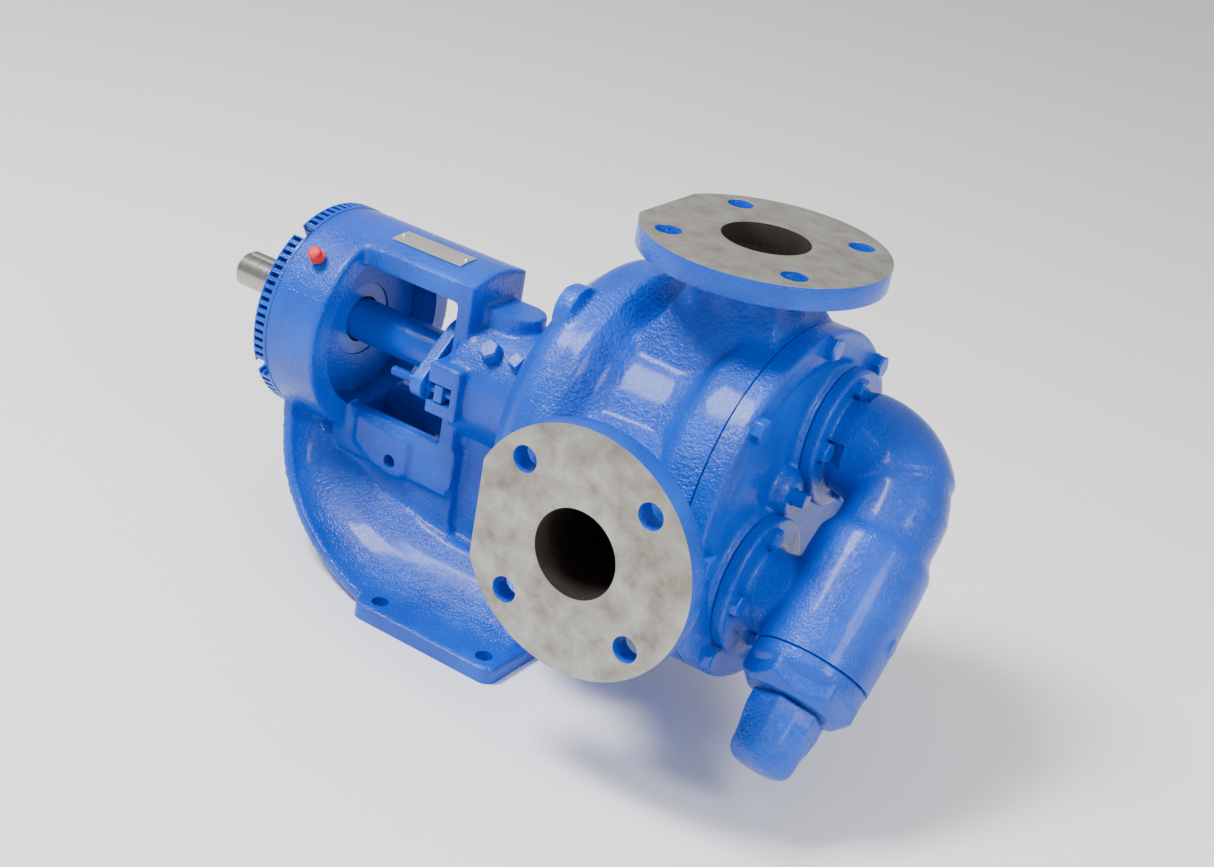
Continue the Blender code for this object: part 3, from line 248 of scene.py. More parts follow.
def block(name, low, high):
    """A square-cornered form between two corners in pump millimetres."""
    bpy.ops.object.select_all(action="DESELECT")
    low, high = at(*low), at(*high)
    bpy.ops.mesh.primitive_cube_add(size=1, location=(low + high) / 2)
    form = bpy.context.object
    form.name = name
    form.scale = high - low
    bpy.ops.object.transform_apply(location=True, rotation=True, scale=True)
    return form


def only(piece):
    """Select one object and nothing else."""
    bpy.ops.object.select_all(action="DESELECT")
    piece.select_set(True)
    bpy.context.view_layer.objects.active = piece


def apply_modifiers(piece):
    """Apply every modifier of a piece, first to last."""
    only(piece)
    for modifier in list(piece.modifiers):
        bpy.ops.object.modifier_apply(modifier=modifier.name)


def joined(parts):
    """Make one object of several parts, under the first one's name."""
    bpy.ops.object.select_all(action="DESELECT")
    for part in parts:
        part.select_set(True)
    bpy.context.view_layer.objects.active = parts[0]
    bpy.ops.object.join()
    return parts[0]


def cast(name, forms, grain, rounding, most_faces):
    """Unite overlapping forms as one casting and round every corner, as a mould does."""
    casting = joined(forms)
    casting.name = name
    mould = casting.modifiers.new("mould", "REMESH")
    mould.mode = "VOXEL"
    mould.voxel_size = grain * MM
    fillets = casting.modifiers.new("fillets", "SMOOTH")
    fillets.factor = 0.5
    fillets.iterations = rounding
    apply_modifiers(casting)
    quads = len(casting.data.polygons)
    if quads * 2 > most_faces:
        lighter = casting.modifiers.new("lighter", "DECIMATE")
        lighter.ratio = most_faces / (quads * 2)
        apply_modifiers(casting)
    return casting


def machine(piece, *tools):
    """Take each tool's volume out of the piece, leaving crisp edges."""
    for tool in tools:
        cut = piece.modifiers.new("machined", "BOOLEAN")
        cut.object = tool
        cut.operation = "DIFFERENCE"
        cut.solver = "EXACT"
        apply_modifiers(piece)
        bpy.data.objects.remove(tool)


def finish(piece, material, body, *nodes, slot="blue_enamel", angle=38.0):
    """Shade, paint and hang a finished piece on its body, in place of the CAD nodes it stands for."""
    only(piece)
    bpy.ops.object.shade_smooth_by_angle(angle=math.radians(angle))
    if not piece.data.materials or piece.data.materials[0] is None:
        piece.data.materials.clear()
        piece.data.materials.append(material)
    if nodes:
        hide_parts(*nodes)
    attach(piece, body)
    return piece


CASING_FACES = (-85.6, 46.6)
CASING_BORE = 95.7
PORT_BORE = 31.5
PORT_FACE = 182.5
PORT_BACK = 166.0

casing_forms = [turned("casing_barrel", [
    (-90, 133), (-72, 133), (-66, 127), (-59, 117), (-50, 111), (-10, 110), (0, 112), (8, 118),
    (15, 127), (22, 132.2), (30, 133), (52, 133)], sides=160)]
for label, pose in (("side", TO_SIDE_PORT), ("top", TO_TOP_PORT)):
    casing_forms.append(turned(
        f"{label}_shoulder",
        [(50, 110), (60, 104), (80, 93), (100, 79), (120, 65), (140, 52), (156, 48), (168, 53)],
        pose @ Matrix.Rotation(math.radians(45), 4, "Z"), sides=4))
    casing_forms.append(turned(
        f"{label}_collar", [(90, 45), (140, 40), (154, 41), (161, 46), (168, 60)], pose, 64))
casing = cast("casing_casting", casing_forms, grain=2.0, rounding=7, most_faces=150000)
machine(
    casing,
    block("head_side_facing", (CASING_FACES[1], -200, -160), (120, 200, 220)),
    block("bracket_side_facing", (-150, -200, -160), (CASING_FACES[0], 200, 220)),
    turned("rotor_bore", [(-100, CASING_BORE), (60, CASING_BORE)], sides=128),
    turned("side_port_bore", [(80, PORT_BORE), (190, PORT_BORE)], TO_SIDE_PORT, 64),
    turned("top_port_bore", [(80, PORT_BORE), (190, PORT_BORE)], TO_TOP_PORT, 64),
    block("side_port_facing", (-100, -200, -100), (100, -PORT_BACK - 0.6, 100)),
    block("top_port_facing", (-100, -100, PORT_BACK + 0.6), (100, 100, 200)))
casing.data.materials.append(ROUGH_CAST)
# The inside of each port bore is painted near-black with a mottled brownish tone. This is painted shade deep
# in the opening, not the colour of the iron.
BORE_SHADE, nodes, links, shader = new_material("painted_shade_in_bore", (0.02, 0.017, 0.015), 0.6, 0.3)
bore_shade_mottle = nodes.new("ShaderNodeTexNoise")
bore_shade_mottle.inputs["Scale"].default_value = 160.0
bore_shade_mottle.inputs["Detail"].default_value = 5.0
bore_shade_tint = add_ramp(nodes, links, bore_shade_mottle.outputs["Fac"], [
    (0.35, (0.010, 0.009, 0.009)), (0.7, (0.045, 0.03, 0.022))])
links.new(bore_shade_tint.outputs["Color"], shader.inputs["Base Color"])
add_bump(nodes, links, shader, bore_shade_mottle.outputs["Fac"], 0.6)


def paint_bore_shade(piece, centre, axis, radius):
    """Paint the faces inside a bore near-black with a mottled tone, as painted shade."""
    piece.data.materials.append(BORE_SHADE)
    index = len(piece.data.materials) - 1
    for polygon in piece.data.polygons:
        arm = polygon.center - centre
        if arm.dot(axis) > 0 and (arm - axis * arm.dot(axis)).length < (radius + 0.3) * MM:
            polygon.material_index = index


# Painted shade on the casing's faces inside both port bores.
for outward in (Vector((0, -1, 0)), Vector((0, 0, 1))):
    paint_bore_shade(casing, PUMP_CENTRE, outward, PORT_BORE)
finish(casing, ROUGH_CAST, "frame", "casing")

# ================================================================ port flanges
# Round 2-1/2 inch flanges cast with the casing, cut flat towards the bracket.  Each face is
# turned bare iron with four drilled holes; the rim is painted.
def build_bare_iron():
    """Bare turned iron: grey, faintly stained, with fine tool marks round the bore."""
    material, nodes, links, shader = new_material("bare_turned_iron", (0.42, 0.41, 0.38), 0.4, 0.75)
    place = nodes.new("ShaderNodeTexCoord")
    stain = nodes.new("ShaderNodeTexNoise")
    stain.inputs["Scale"].default_value = 58.0
    stain.inputs["Detail"].default_value = 6.0
    stain.inputs["Roughness"].default_value = 0.6
    stain.inputs["Distortion"].default_value = 0.2
    links.new(place.outputs["Object"], stain.inputs["Vector"])
    tint = add_ramp(nodes, links, stain.outputs["Fac"], [
        (0.24, (0.18, 0.164, 0.132)), (0.42, (0.29, 0.273, 0.236)), (0.56, (0.352, 0.337, 0.302)),
        (0.75, (0.43, 0.418, 0.385))])
    links.new(tint.outputs["Color"], shader.inputs["Base Color"])
    gloss = add_range(nodes, links, stain.outputs["Fac"], 0.52, 0.34)
    links.new(gloss.outputs["Result"], shader.inputs["Roughness"])
    scratch = nodes.new("ShaderNodeTexNoise")
    scratch.inputs["Scale"].default_value = 1500.0
    scratch.inputs["Detail"].default_value = 2.0
    links.new(place.outputs["Object"], scratch.inputs["Vector"])
    add_bump(nodes, links, shader, scratch.outputs["Fac"], 0.25, 0.5)
    return material


BARE_IRON = build_bare_iron()
FINE_CAST = blue_enamel("enamel_on_fine_casting", 560.0, 0.95, 0.8)
BOLT_CIRCLE = 69.85
PORT_HOLE = 9.5
PORT_FLAT = -81.0


def bevel_edges(piece, width, segments=2, angle=30.0):
    """Break the sharp edges of a machined piece."""
    edge = piece.modifiers.new("broken_edge", "BEVEL")
    edge.width = width * MM
    edge.segments = segments
    edge.limit_method = "ANGLE"
    edge.angle_limit = math.radians(angle)
    apply_modifiers(piece)


for label, pose, outward, flat in (
        ("side", TO_SIDE_PORT, Vector((0, -1, 0)), ((-140, -200, -120), (PORT_FLAT, -150, 120))),
        ("top", TO_TOP_PORT, Vector((0, 0, 1)), ((-140, -120, 150), (PORT_FLAT, 120, 200)))):
    flange = turned(
        f"{label}_port_flange", [(PORT_BACK, PORT_FLANGE_R), (PORT_FACE, PORT_FLANGE_R)], pose, 128)
    drills = [turned("bore", [(150, PORT_BORE), (200, PORT_BORE)], pose, 64), block("flat", *flat)]
    for turn in range(4):
        spin = Matrix.Rotation(math.radians(45 + 90 * turn), 4, "Z")
        drills.append(turned("drill", [(150, PORT_HOLE), (200, PORT_HOLE)],
                             pose @ spin @ Matrix.Translation((BOLT_CIRCLE * MM, 0, 0)), 32))
    machine(flange, *drills)
    bevel_edges(flange, 0.9)
    flange.data.materials.append(FINE_CAST)
    flange.data.materials.append(BARE_IRON)
    for polygon in flange.data.polygons:
        if (polygon.center - PUMP_CENTRE).dot(outward) > (PORT_FACE - 0.8) * MM:
            polygon.material_index = 1
    # Painted shade on the flange's faces inside its bore.
    paint_bore_shade(flange, PUMP_CENTRE, outward, PORT_BORE)
    finish(flange, FINE_CAST, "frame", angle=25.0)

# ================================================================ head
# The front cover: a thick cast disc with pads for the relief valve's flanges, a boss for the
# idler pin, and eight hexagon screws round its rim.
HEAD_FACE = 64.0
VALVE_PORT = 63.0
TO_IDLER = Vector((0, -math.sqrt(0.5), math.sqrt(0.5)))
DOWN_VALVE = Vector((0, -math.sqrt(0.5), -math.sqrt(0.5)))
HEAD_BACK = 47.7
HEAD_SCREW_CIRCLE = 124.5
PIN_OFFSET = 23.3
OUT_OF_HEAD = Vector((1, 0, 0))


def on_head(along, across, out=0.0):
    """A place on the head: millimetres down the valve, across it, and out from the centre plane."""
    return PUMP_CENTRE + (DOWN_VALVE * along + TO_IDLER * across + Vector((out, 0, 0))) * MM


head_forms = [turned("head_disc", [
    (40, 133), (HEAD_FACE - 2, 133), (HEAD_FACE, 131), (HEAD_FACE, 113), (HEAD_FACE - 5, 105)], sides=160)]
for side in (-1, 1):
    head_forms.append(turned(
        "valve_pad", [(50, 55), (HEAD_FACE + 0.4, 53)], centre=on_head(side * VALVE_PORT, 0), sides=64))
head_forms.append(turned(
    "pin_boss", [(50, 22), (HEAD_FACE + 2, 17), (HEAD_FACE + 7, 13.5)],
    centre=on_head(0, PIN_OFFSET), sides=48))
for angle in (50.0, 230.0):
    swing = math.radians(angle)
    rim = PUMP_CENTRE + Vector((0, math.sin(swing), math.cos(swing))) * 122 * MM
    head_forms.append(turned("rim_lobe", [(50, 13), (HEAD_FACE + 1, 12)], centre=rim, sides=32))
head = cast("head_casting", head_forms, grain=1.7, rounding=5, most_faces=120000)
machine(head, block("joint_facing", (0, -200, -200), (HEAD_BACK, 200, 200)))
finish(head, FINE_CAST, "frame", "head")

GASKET, nodes, links, shader = new_material("gasket_sheet", (0.05, 0.045, 0.035), 0.8)
weave = nodes.new("ShaderNodeTexNoise")
weave.inputs["Scale"].default_value = 900.0
add_bump(nodes, links, shader, weave.outputs["Fac"], 0.1)


def coat_nodes(material, *names):
    """Give a material to CAD solids that show as they are."""
    for name in names:
        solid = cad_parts[name]
        solid.data.materials.clear()
        solid.data.materials.append(material)


coat_nodes(GASKET, "head_gasket", "bracket_gasket", "valve_gasket_upper", "valve_gasket_lower")
TURNED_PAINT = blue_enamel("enamel_on_turned_iron", 900.0, 0.22, 0.12)
SCREW_SHADING = 12.0
ORIGIN = Vector((0, 0, 0))
UPRIGHT = Matrix.Identity(4)


def facing(outward, spin=0.0):
    """The pose of a part that stands on its own Z, pointed outward and spun about itself."""
    aim = outward.to_track_quat("Z", "Y").to_matrix().to_4x4()
    return aim @ Matrix.Rotation(math.radians(spin), 4, "Z")


def hex_screw(name, across_flats, height, shank):
    """A hexagon head with a washer face and chamfered corners on its shank, at the origin."""
    corner = across_flats / 2 / math.cos(math.pi / 6)
    screw = turned(
        name, [(0.0, corner), (height * 0.82, corner), (height, corner * 0.84)], UPRIGHT, 6, ORIGIN)
    bevel_edges(screw, 0.55, 2, 20.0)
    washer = turned(
        "washer_face", [(-0.6, across_flats * 0.56), (0.7, across_flats * 0.54)], UPRIGHT, 24, ORIGIN)
    stem = turned(
        "shank", [(-shank, across_flats * 0.33), (0.2, across_flats * 0.33)], UPRIGHT, 16, ORIGIN)
    return joined([screw, washer, stem])


def copy_of(pattern, name):
    """A copy of a modelled part, with its own mesh."""
    part = pattern.copy()
    part.data = pattern.data.copy()
    part.name = name
    bpy.context.scene.collection.objects.link(part)
    return part


def set_down(part, place, pose):
    """Move a part that was modelled at the origin to its place in the pump."""
    part.matrix_world = Matrix.Translation(place) @ pose
    only(part)
    bpy.ops.object.transform_apply(location=True, rotation=True, scale=True)
    return part


screw_pattern = hex_screw("head_screw_pattern", 15.9, 7.6, 30.0)
for index in range(8):
    swing = math.radians(45 * index)
    seat = at(HEAD_FACE + 0.2) + Vector((0, math.cos(swing), math.sin(swing))) * HEAD_SCREW_CIRCLE * MM
    screw = set_down(
        copy_of(screw_pattern, f"head_screw_{index + 1}"), seat, facing(OUT_OF_HEAD, 11 * index))
    finish(screw, TURNED_PAINT, "frame", f"head_capscrew_{index + 1}", angle=SCREW_SHADING)
bpy.data.objects.remove(screw_pattern)

# ================================================================ relief valve
# A cast elbow runs into a straight barrel that crosses in front of the head.  A hexagonal bonnet
# and a domed cap close its lower end over the adjusting screw.
VALVE_OUT = 134.0
ALONG_VALVE = Matrix.Rotation(math.radians(135), 4, "X")
valve_centre = at(VALVE_OUT)
BEND = 46.0
ELBOW_R = 40.0


def select_faces(piece, wanted):
    """Enter edit mode with only those faces selected that pass a test."""
    only(piece)
    bpy.ops.object.mode_set(mode="EDIT")
    bpy.ops.mesh.select_all(action="DESELECT")
    bpy.ops.object.mode_set(mode="OBJECT")
    for polygon in piece.data.polygons:
        polygon.select = wanted(polygon)
    bpy.ops.object.mode_set(mode="EDIT")


def bent_pipe(name, radius, bend, start, end):
    """A pipe that leaves the head squarely, turns through a right angle and runs down the valve."""
    pipe = turned(name, [(start, radius * 0.9), (start + 8, radius * 0.93), (VALVE_OUT - bend, radius)],
                  centre=on_head(-VALVE_PORT, 0), sides=64)
    tip = max(polygon.center.x for polygon in pipe.data.polygons)
    select_faces(pipe, lambda polygon: polygon.center.x > tip - 0.1 * MM)
    hinge = on_head(-VALVE_PORT + bend, 0, VALVE_OUT - bend)
    band = math.radians(62)
    bpy.ops.mesh.spin(steps=12, angle=band, center=hinge, axis=TO_IDLER)
    bpy.ops.transform.resize(value=(0.91, 0.91, 0.91), center_override=on_head(
        -VALVE_PORT + bend * (1 - math.cos(band)), 0, VALVE_OUT - bend + bend * math.sin(band)))
    bpy.ops.mesh.spin(steps=5, angle=math.radians(90) - band, center=hinge, axis=TO_IDLER)
    bpy.ops.mesh.extrude_region_move(
        TRANSFORM_OT_translate={"value": DOWN_VALVE * (end + VALVE_PORT - bend) * MM})
    bpy.ops.mesh.select_all(action="SELECT")
    bpy.ops.mesh.remove_doubles(threshold=0.00001)
    bpy.ops.mesh.normals_make_consistent(inside=False)
    bpy.ops.object.mode_set(mode="OBJECT")
    return pipe


FLANGE_SEAT = 65.2
FLANGE_FRONT = 75.0
valve_forms = [
    turned("valve_barrel", [(-34, 35.5), (-6, 36.5), (0, 38.0), (5, 41.0), (9, 42.6), (27, 43.4), (75, 43.4),
                            (92, 42.8), (104, 42.8)], ALONG_VALVE, 112, valve_centre),
    bent_pipe("valve_elbow", ELBOW_R, BEND, FLANGE_SEAT + 3, 0.0),
    turned("lower_neck", [
        (FLANGE_SEAT + 3, 33), (FLANGE_FRONT + 6, 30), (VALVE_OUT - 30, 32), (VALVE_OUT, 33)],
           centre=on_head(VALVE_PORT, 0), sides=64),
    turned("side_knob", [(36, 7), (44.6, 6.2)], Matrix.Rotation(math.radians(90), 4, "Y"),
           centre=on_head(64, 0, VALVE_OUT), sides=24),
]
for side in (-1, 1):
    valve_forms.append(turned(
        "valve_flange", [(FLANGE_SEAT - 3, 52), (FLANGE_FRONT - 1, 52), (FLANGE_FRONT, 51)],
        centre=on_head(side * VALVE_PORT, 0), sides=96))
valve = cast("relief_valve_casting", valve_forms, grain=1.5, rounding=6, most_faces=150000)
seats = [turned("flange_facing", [(20, 70), (FLANGE_SEAT, 70)],
                centre=on_head(side * VALVE_PORT, 0), sides=32) for side in (-1, 1)]
seats.append(turned("bonnet_facing", [(99.6, 60), (130, 60)], ALONG_VALVE, 48, valve_centre))
seats.append(turned("valve_bore", [(14, 33), (110, 33)], ALONG_VALVE, 64, valve_centre))
machine(valve, *seats)
BOLT_ALONG, BOLT_ACROSS = 26.7, 31.8
spot_faces = []
for side in (-1, 1):
    for along in (-1, 1):
        for across in (-1, 1):
            spot = on_head(side * VALVE_PORT + along * BOLT_ALONG, across * BOLT_ACROSS)
            spot_faces.append(turned(
                "spot_face", [(FLANGE_FRONT - 0.2, 9.4), (FLANGE_FRONT + 14, 9.4)], centre=spot, sides=32))
machine(valve, *spot_faces)
finish(valve, FINE_CAST, "frame", "valve_body")

screw_pattern = hex_screw("valve_screw_pattern", 14.3, 6.4, 18.0)
for side, label in ((-1, "upper"), (1, "lower")):
    number = 0
    for along in (-1, 1):
        for across in (-1, 1):
            number += 1
            seat = on_head(side * VALVE_PORT + along * BOLT_ALONG, across * BOLT_ACROSS, FLANGE_FRONT - 0.1)
            screw = set_down(copy_of(screw_pattern, f"valve_{label}_screw_{number}"), seat,
                             facing(OUT_OF_HEAD, 17 * number))
            finish(screw, TURNED_PAINT, "frame", f"valve_{label}_capscrew_{number}", angle=SCREW_SHADING)
bpy.data.objects.remove(screw_pattern)

bonnet = turned("valve_bonnet_hexagon", [(107, 42.6), (130, 42.6)],
                ALONG_VALVE @ Matrix.Rotation(math.radians(12), 4, "Z"), 6, valve_centre)
chamfer = turned("bonnet_chamfer", [(100, 41.6), (121, 41.6), (129.5, 33.5)], ALONG_VALVE, 96, valve_centre)
shape = bonnet.modifiers.new("turned_corners", "BOOLEAN")
shape.object = chamfer
shape.operation = "INTERSECT"
shape.solver = "EXACT"
apply_modifiers(bonnet)
bpy.data.objects.remove(chamfer)
collar = turned("bonnet_collar", [
    (99.9, 41.0), (101.0, 41.8), (108.0, 41.8), (111.5, 40.6), (114.5, 38.0)], ALONG_VALVE, 96, valve_centre)
bonnet = cast("valve_bonnet_casting", [bonnet, collar], grain=0.8, rounding=2, most_faces=90000)
CRISP_SHADING = 30.0
machine(bonnet, turned("bonnet_hollow", [(90, 26), (116, 26)], ALONG_VALVE, 48, valve_centre),
        turned("screw_hole", [(90, 7.6), (140, 7.6)], ALONG_VALVE, 32, valve_centre))
finish(bonnet, FINE_CAST, "frame", "valve_bonnet", angle=CRISP_SHADING)

cap = turned("valve_cap_body", [
    (136, 24.4), (160, 23.9), (169, 23.4), (173.5, 22.2), (176.5, 19.5), (178.4, 15.5), (179.2, 9.0)],
             ALONG_VALVE, 64, valve_centre)
cap_hex = turned("valve_cap_hexagon", [
    (130.4, 26.8), (131.6, 27.9), (142.0, 27.9), (150, 26.6), (166, 23.4)], ALONG_VALVE, 6, valve_centre)
cap = cast("valve_cap_casting", [cap, cap_hex], grain=0.8, rounding=3, most_faces=60000)
machine(cap, turned("cap_hollow", [(120, 15.5), (170, 15.5)], ALONG_VALVE, 32, valve_centre))
finish(cap, ROUGH_CAST, "frame", "valve_cap")

# ================================================================ bearing bracket
# One large casting: a barrel for the bearing housing, a beam over a window that gives access to
# the packing, a neck with the stuffing box, the flange to the casing, and a curved back that
# sweeps down into the foot.
def plate(name, outline, depth):
    """A flat form: a face with the outline's corners, pushed through by the depth, in millimetres."""
    bpy.ops.object.select_all(action="DESELECT")
    bpy.ops.mesh.primitive_circle_add(vertices=len(outline), fill_type="NGON")
    form = bpy.context.object
    form.name = name
    for corner, place in zip(form.data.vertices, outline):
        corner.co = at(*place)
    bpy.ops.object.mode_set(mode="EDIT")
    bpy.ops.mesh.select_all(action="SELECT")
    bpy.ops.mesh.extrude_region_move(TRANSFORM_OT_translate={"value": Vector(depth) * MM})
    bpy.ops.mesh.select_all(action="SELECT")
    bpy.ops.mesh.normals_make_consistent(inside=False)
    bpy.ops.object.mode_set(mode="OBJECT")
    return form


def arc(radius, start, end, steps, centre=(0.0, 0.0)):
    """Points on an arc in degrees, both ends included."""
    points = []
    for step in range(steps + 1):
        angle = math.radians(start + (end - start) * step / steps)
        points.append((centre[0] + radius * math.cos(angle), centre[1] + radius * math.sin(angle)))
    return points


def lofted(name, sections):
    """A skin over equal rings of points: a tube is drawn out ring by ring, then every ring is placed."""
    bpy.ops.object.select_all(action="DESELECT")
    count = len(sections[0])
    bpy.ops.mesh.primitive_circle_add(vertices=count, radius=1.0, fill_type="NGON")
    skin = bpy.context.object
    skin.name = name
    bpy.ops.object.mode_set(mode="EDIT")
    bpy.ops.mesh.select_all(action="SELECT")
    for _ in sections[1:]:
        bpy.ops.mesh.extrude_region_move(TRANSFORM_OT_translate={"value": (0, 0, 1)})
    bpy.ops.object.mode_set(mode="OBJECT")
    for corner in skin.data.vertices:
        ring = round(corner.co.z)
        place = round(math.atan2(corner.co.y, corner.co.x) / (2 * math.pi) * count) % count
        corner.co = at(*sections[ring][place])
    bpy.ops.object.mode_set(mode="EDIT")
    bpy.ops.mesh.select_all(action="SELECT")
    bpy.ops.mesh.normals_make_consistent(inside=False)
    bpy.ops.object.mode_set(mode="OBJECT")
    return skin


BARREL = 85.0
HALF_FRAME = 34.0
BACK_THICKNESS = 9.0
# the back's inner face: distance along the shaft, height, half width, way out, rise of the fillet
BACK = [
    (-353, -40, 60, 180, 3), (-352, -62, 60.5, 182, 6), (-350, -80, 61.5, 187, 10),
    (-344, -100, 66, 200, 18), (-334, -118, 71, 214, 26), (-320, -132, 77, 226, 32),
    (-302, -144, 84, 238, 36), (-280, -154, 91, 248, 38), (-256, -161, 98, 258, 39),
    (-230, -165, 105, 266, 38), (-200, -166, 109, 270, 36), (-150, -166, 109, 270, 34),
    (-98, -166, 109, 270, 32),
]


def back_section(x, z, half, outward, rise):
    """One slice across the back: thin at its edges, swept up to the web in the middle."""
    out = math.radians(outward)
    lift = (-math.cos(out), -math.sin(out))
    points = []
    steps = 9
    for step in range(-steps, steps + 1):
        side = half * step / steps
        share = max(0.0, (half - abs(side)) / (half - HALF_FRAME))
        swell = rise * min(1.0, share) ** 2.3
        points.append((x + lift[0] * swell, side, z + lift[1] * swell))
    for side in (half, 0.5 * half, 0.0, -0.5 * half, -half):
        points.append((x - lift[0] * BACK_THICKNESS, side, z - lift[1] * BACK_THICKNESS))
    return points


def eased(stations, steps):
    """A smooth run of stations through the given ones, with a few more between each pair."""
    run = []
    last = len(stations) - 1
    for index in range(last):
        around = [stations[min(max(index + shift, 0), last)] for shift in (-1, 0, 1, 2)]
        for step in range(steps):
            t = step / steps
            run.append(tuple(0.5 * (2 * b + (c - a) * t + (2 * a - 5 * b + 4 * c - d) * t ** 2
                                    + (3 * b - a - 3 * c + d) * t ** 3) for a, b, c, d in zip(*around)))
    run.append(stations[last])
    return run


beam_edge = math.degrees(math.asin(HALF_FRAME / BARREL))
beam_top = arc(BARREL, 90 - beam_edge, 90 + beam_edge, 12)
beam_outline = [(-322, y, z) for y, z in [(HALF_FRAME, 62)] + beam_top + [(-HALF_FRAME, 62)]]
web_outline = [(x, 3.5 - HALF_FRAME, z) for x, z in (
    (-350, -84), (-206, -84), (-206, -122), (-201, -135), (-97, -139), (-97, -168), (-226, -168),
    (-256, -164), (-284, -156), (-313, -142), (-337, -122), (-350, -99))]
rail_outline = [(x, -HALF_FRAME, z) for x, z in (
    [(-330, -57), (-206, -57)] + arc(14, 0, -90, 5, (-220, -84)) + [(-330, -98)])]
boss_outline = [(x, y, 36) for x, y in [(-216, -18.5), (-186, -18.5)] + arc(18.5, -75, 75, 9, (-186, 0))
                + [(-186, 18.5), (-216, 18.5)]]
foot_outline = [(x, y, -184) for x, y in (
    arc(9, -90, 0, 4, (-99, -109)) + arc(9, 0, 90, 4, (-99, 109)) + arc(9, 90, 180, 4, (-216, 109))
    + arc(9, 180, 270, 4, (-216, -109)))]
ear_outline = [(x, -HALF_FRAME - 3.4, z) for x, z in (
    [(-304, -60), (-249, -66)] + arc(13, 0, -90, 5, (-262, -89)) + [(-285, -98), (-304, -84)])]
panel_outline = [(x, -40.5, z) for x, z in (
    [(-196, 20), (-150, 20)] + arc(12, 0, -90, 4, (-162, -12)) + arc(12, -90, -180, 4, (-184, -12)))]

bracket_forms = [
    turned("bracket_neck", [
        (-216, 49.5), (-154, 50), (-148, 57), (-140, 76), (-130, 98), (-118, 117), (-106, 128), (-99, 131),
        (-80, 131)], sides=160),
    turned("bracket_barrel", [(-367, BARREL), (-316, BARREL)], sides=160),
    plate("beam", beam_outline, (112, 0, 0)),
    block("end_wall", (-224, -HALF_FRAME, -98), (-210, HALF_FRAME, 79)),
    plate("near_rail", rail_outline, (0, 11, 0)),
    plate("far_rail", [(x, HALF_FRAME, z) for x, y, z in rail_outline], (0, -11, 0)),
    plate("web", web_outline, (0, 2 * HALF_FRAME - 7, 0)),
    block("narrow_web", (-214, -23, -150), (-97, 23, -30)),
    plate("top_boss", boss_outline, (0, 0, 24.5)),
    plate("foot_plate", foot_outline, (0, 0, 19.5)),
    plate("near_ear", ear_outline, (0, 12, 0)),
    plate("far_ear", [(x, -y, z) for x, y, z in ear_outline], (0, -12, 0)),
    plate("near_panel", panel_outline, (0, 30, 0)),
    plate("far_panel", [(x, -y, z) for x, y, z in panel_outline], (0, -30, 0)),
    block("near_lug", (-226, -56, -22), (-196, -20, 20)),
    block("far_lug", (-226, 20, -22), (-196, 56, 20)),
    lofted("back", [back_section(*station) for station in eased(BACK, 4)]),
]
for swing in (30.0, 210.0):
    lean = math.radians(swing)
    lobe = PUMP_CENTRE + Vector((0, -math.sin(lean), math.cos(lean))) * 120 * MM
    bracket_forms.append(turned("flange_lobe", [(-112, 20), (-97, 21)], centre=lobe, sides=48))
bracket = cast("bracket_casting", bracket_forms, grain=2.0, rounding=6, most_faces=190000)
NECK_SLOPE = Vector((0, -math.sqrt(0.5), math.sqrt(0.5)))
machine(
    bracket,
    block("floor_facing", (-260, -150, -200), (-60, 150, -177.8)),
    block("casing_side_facing", (-86.3, -150, -176), (-40, 150, 150)),
    block("housing_facing", (-400, -100, -100), (-363, 100, 100)),
    turned("housing_bore", [(-380, 62.3), (-338, 62.3)], sides=96),
    turned("window_bore", [(-340, 66), (-315, 67)], sides=96),
    block("trough", (-320, -23, -84), (-224, 23, -40)),
    turned("stuffing_box", [(-240, 27.3), (-132, 27.3)], sides=64),
    turned("bushing_seat", [(-140, 23.3), (-80, 23.3)], sides=64))
STUD_Y, STUD_Z = 49.0, 4.0
for side in (-1, 1):
    inner, outer = sorted((side * 39, side * 62))
    machine(bracket, block(
        "nut_slot", (-225, inner, side * STUD_Z - 7.9), (-203, outer, side * STUD_Z + 7.9)))
for x in (-207.8, -106.8):
    for y in (-103.5, 103.5):
        machine(bracket, turned("foot_hole", [(-190, 6.75), (-150, 6.75)], TO_TOP_PORT, 32, at(x, y)))
machine(bracket, turned("ear_hole", [(-60, 5.5), (60, 5.5)], TO_SIDE_PORT, 32, at(-266, 0, -88)))
finish(bracket, FINE_CAST, "frame", "bracket")

# ================================================================ bearing housing and end cap
# A turned housing screws into the barrel to set the rotor's end clearance.  Its flange is
# milled all round with narrow slots for the locking screws.
housing = turned("bearing_housing_flange", [
    (-376.5, 84.4), (-375.8, 85.6), (-374.6, 85.8), (-366.0, 85.8), (-364.0, 85.5), (-363.4, 84.8),
    (-363.3, 62), (-337, 62)], sides=320)
SLOT_START, SLOT_END = -374.6, -366.0
SLOT_PITCH = 4.5
GAPS = (31.5, 113.5, 203.5, 293.5)


def in_slot(polygon):
    """Every other strip round the flange's rim, by its angle about the shaft."""
    middle = polygon.center
    radius = math.hypot(middle.y, middle.z - PUMP_CENTRE.z)
    turn = math.degrees(math.atan2(-middle.y, middle.z - PUMP_CENTRE.z)) % 360
    on_rim = at(SLOT_START).x < middle.x < at(SLOT_END).x and radius > 84 * MM
    return on_rim and turn % SLOT_PITCH < SLOT_PITCH / 2


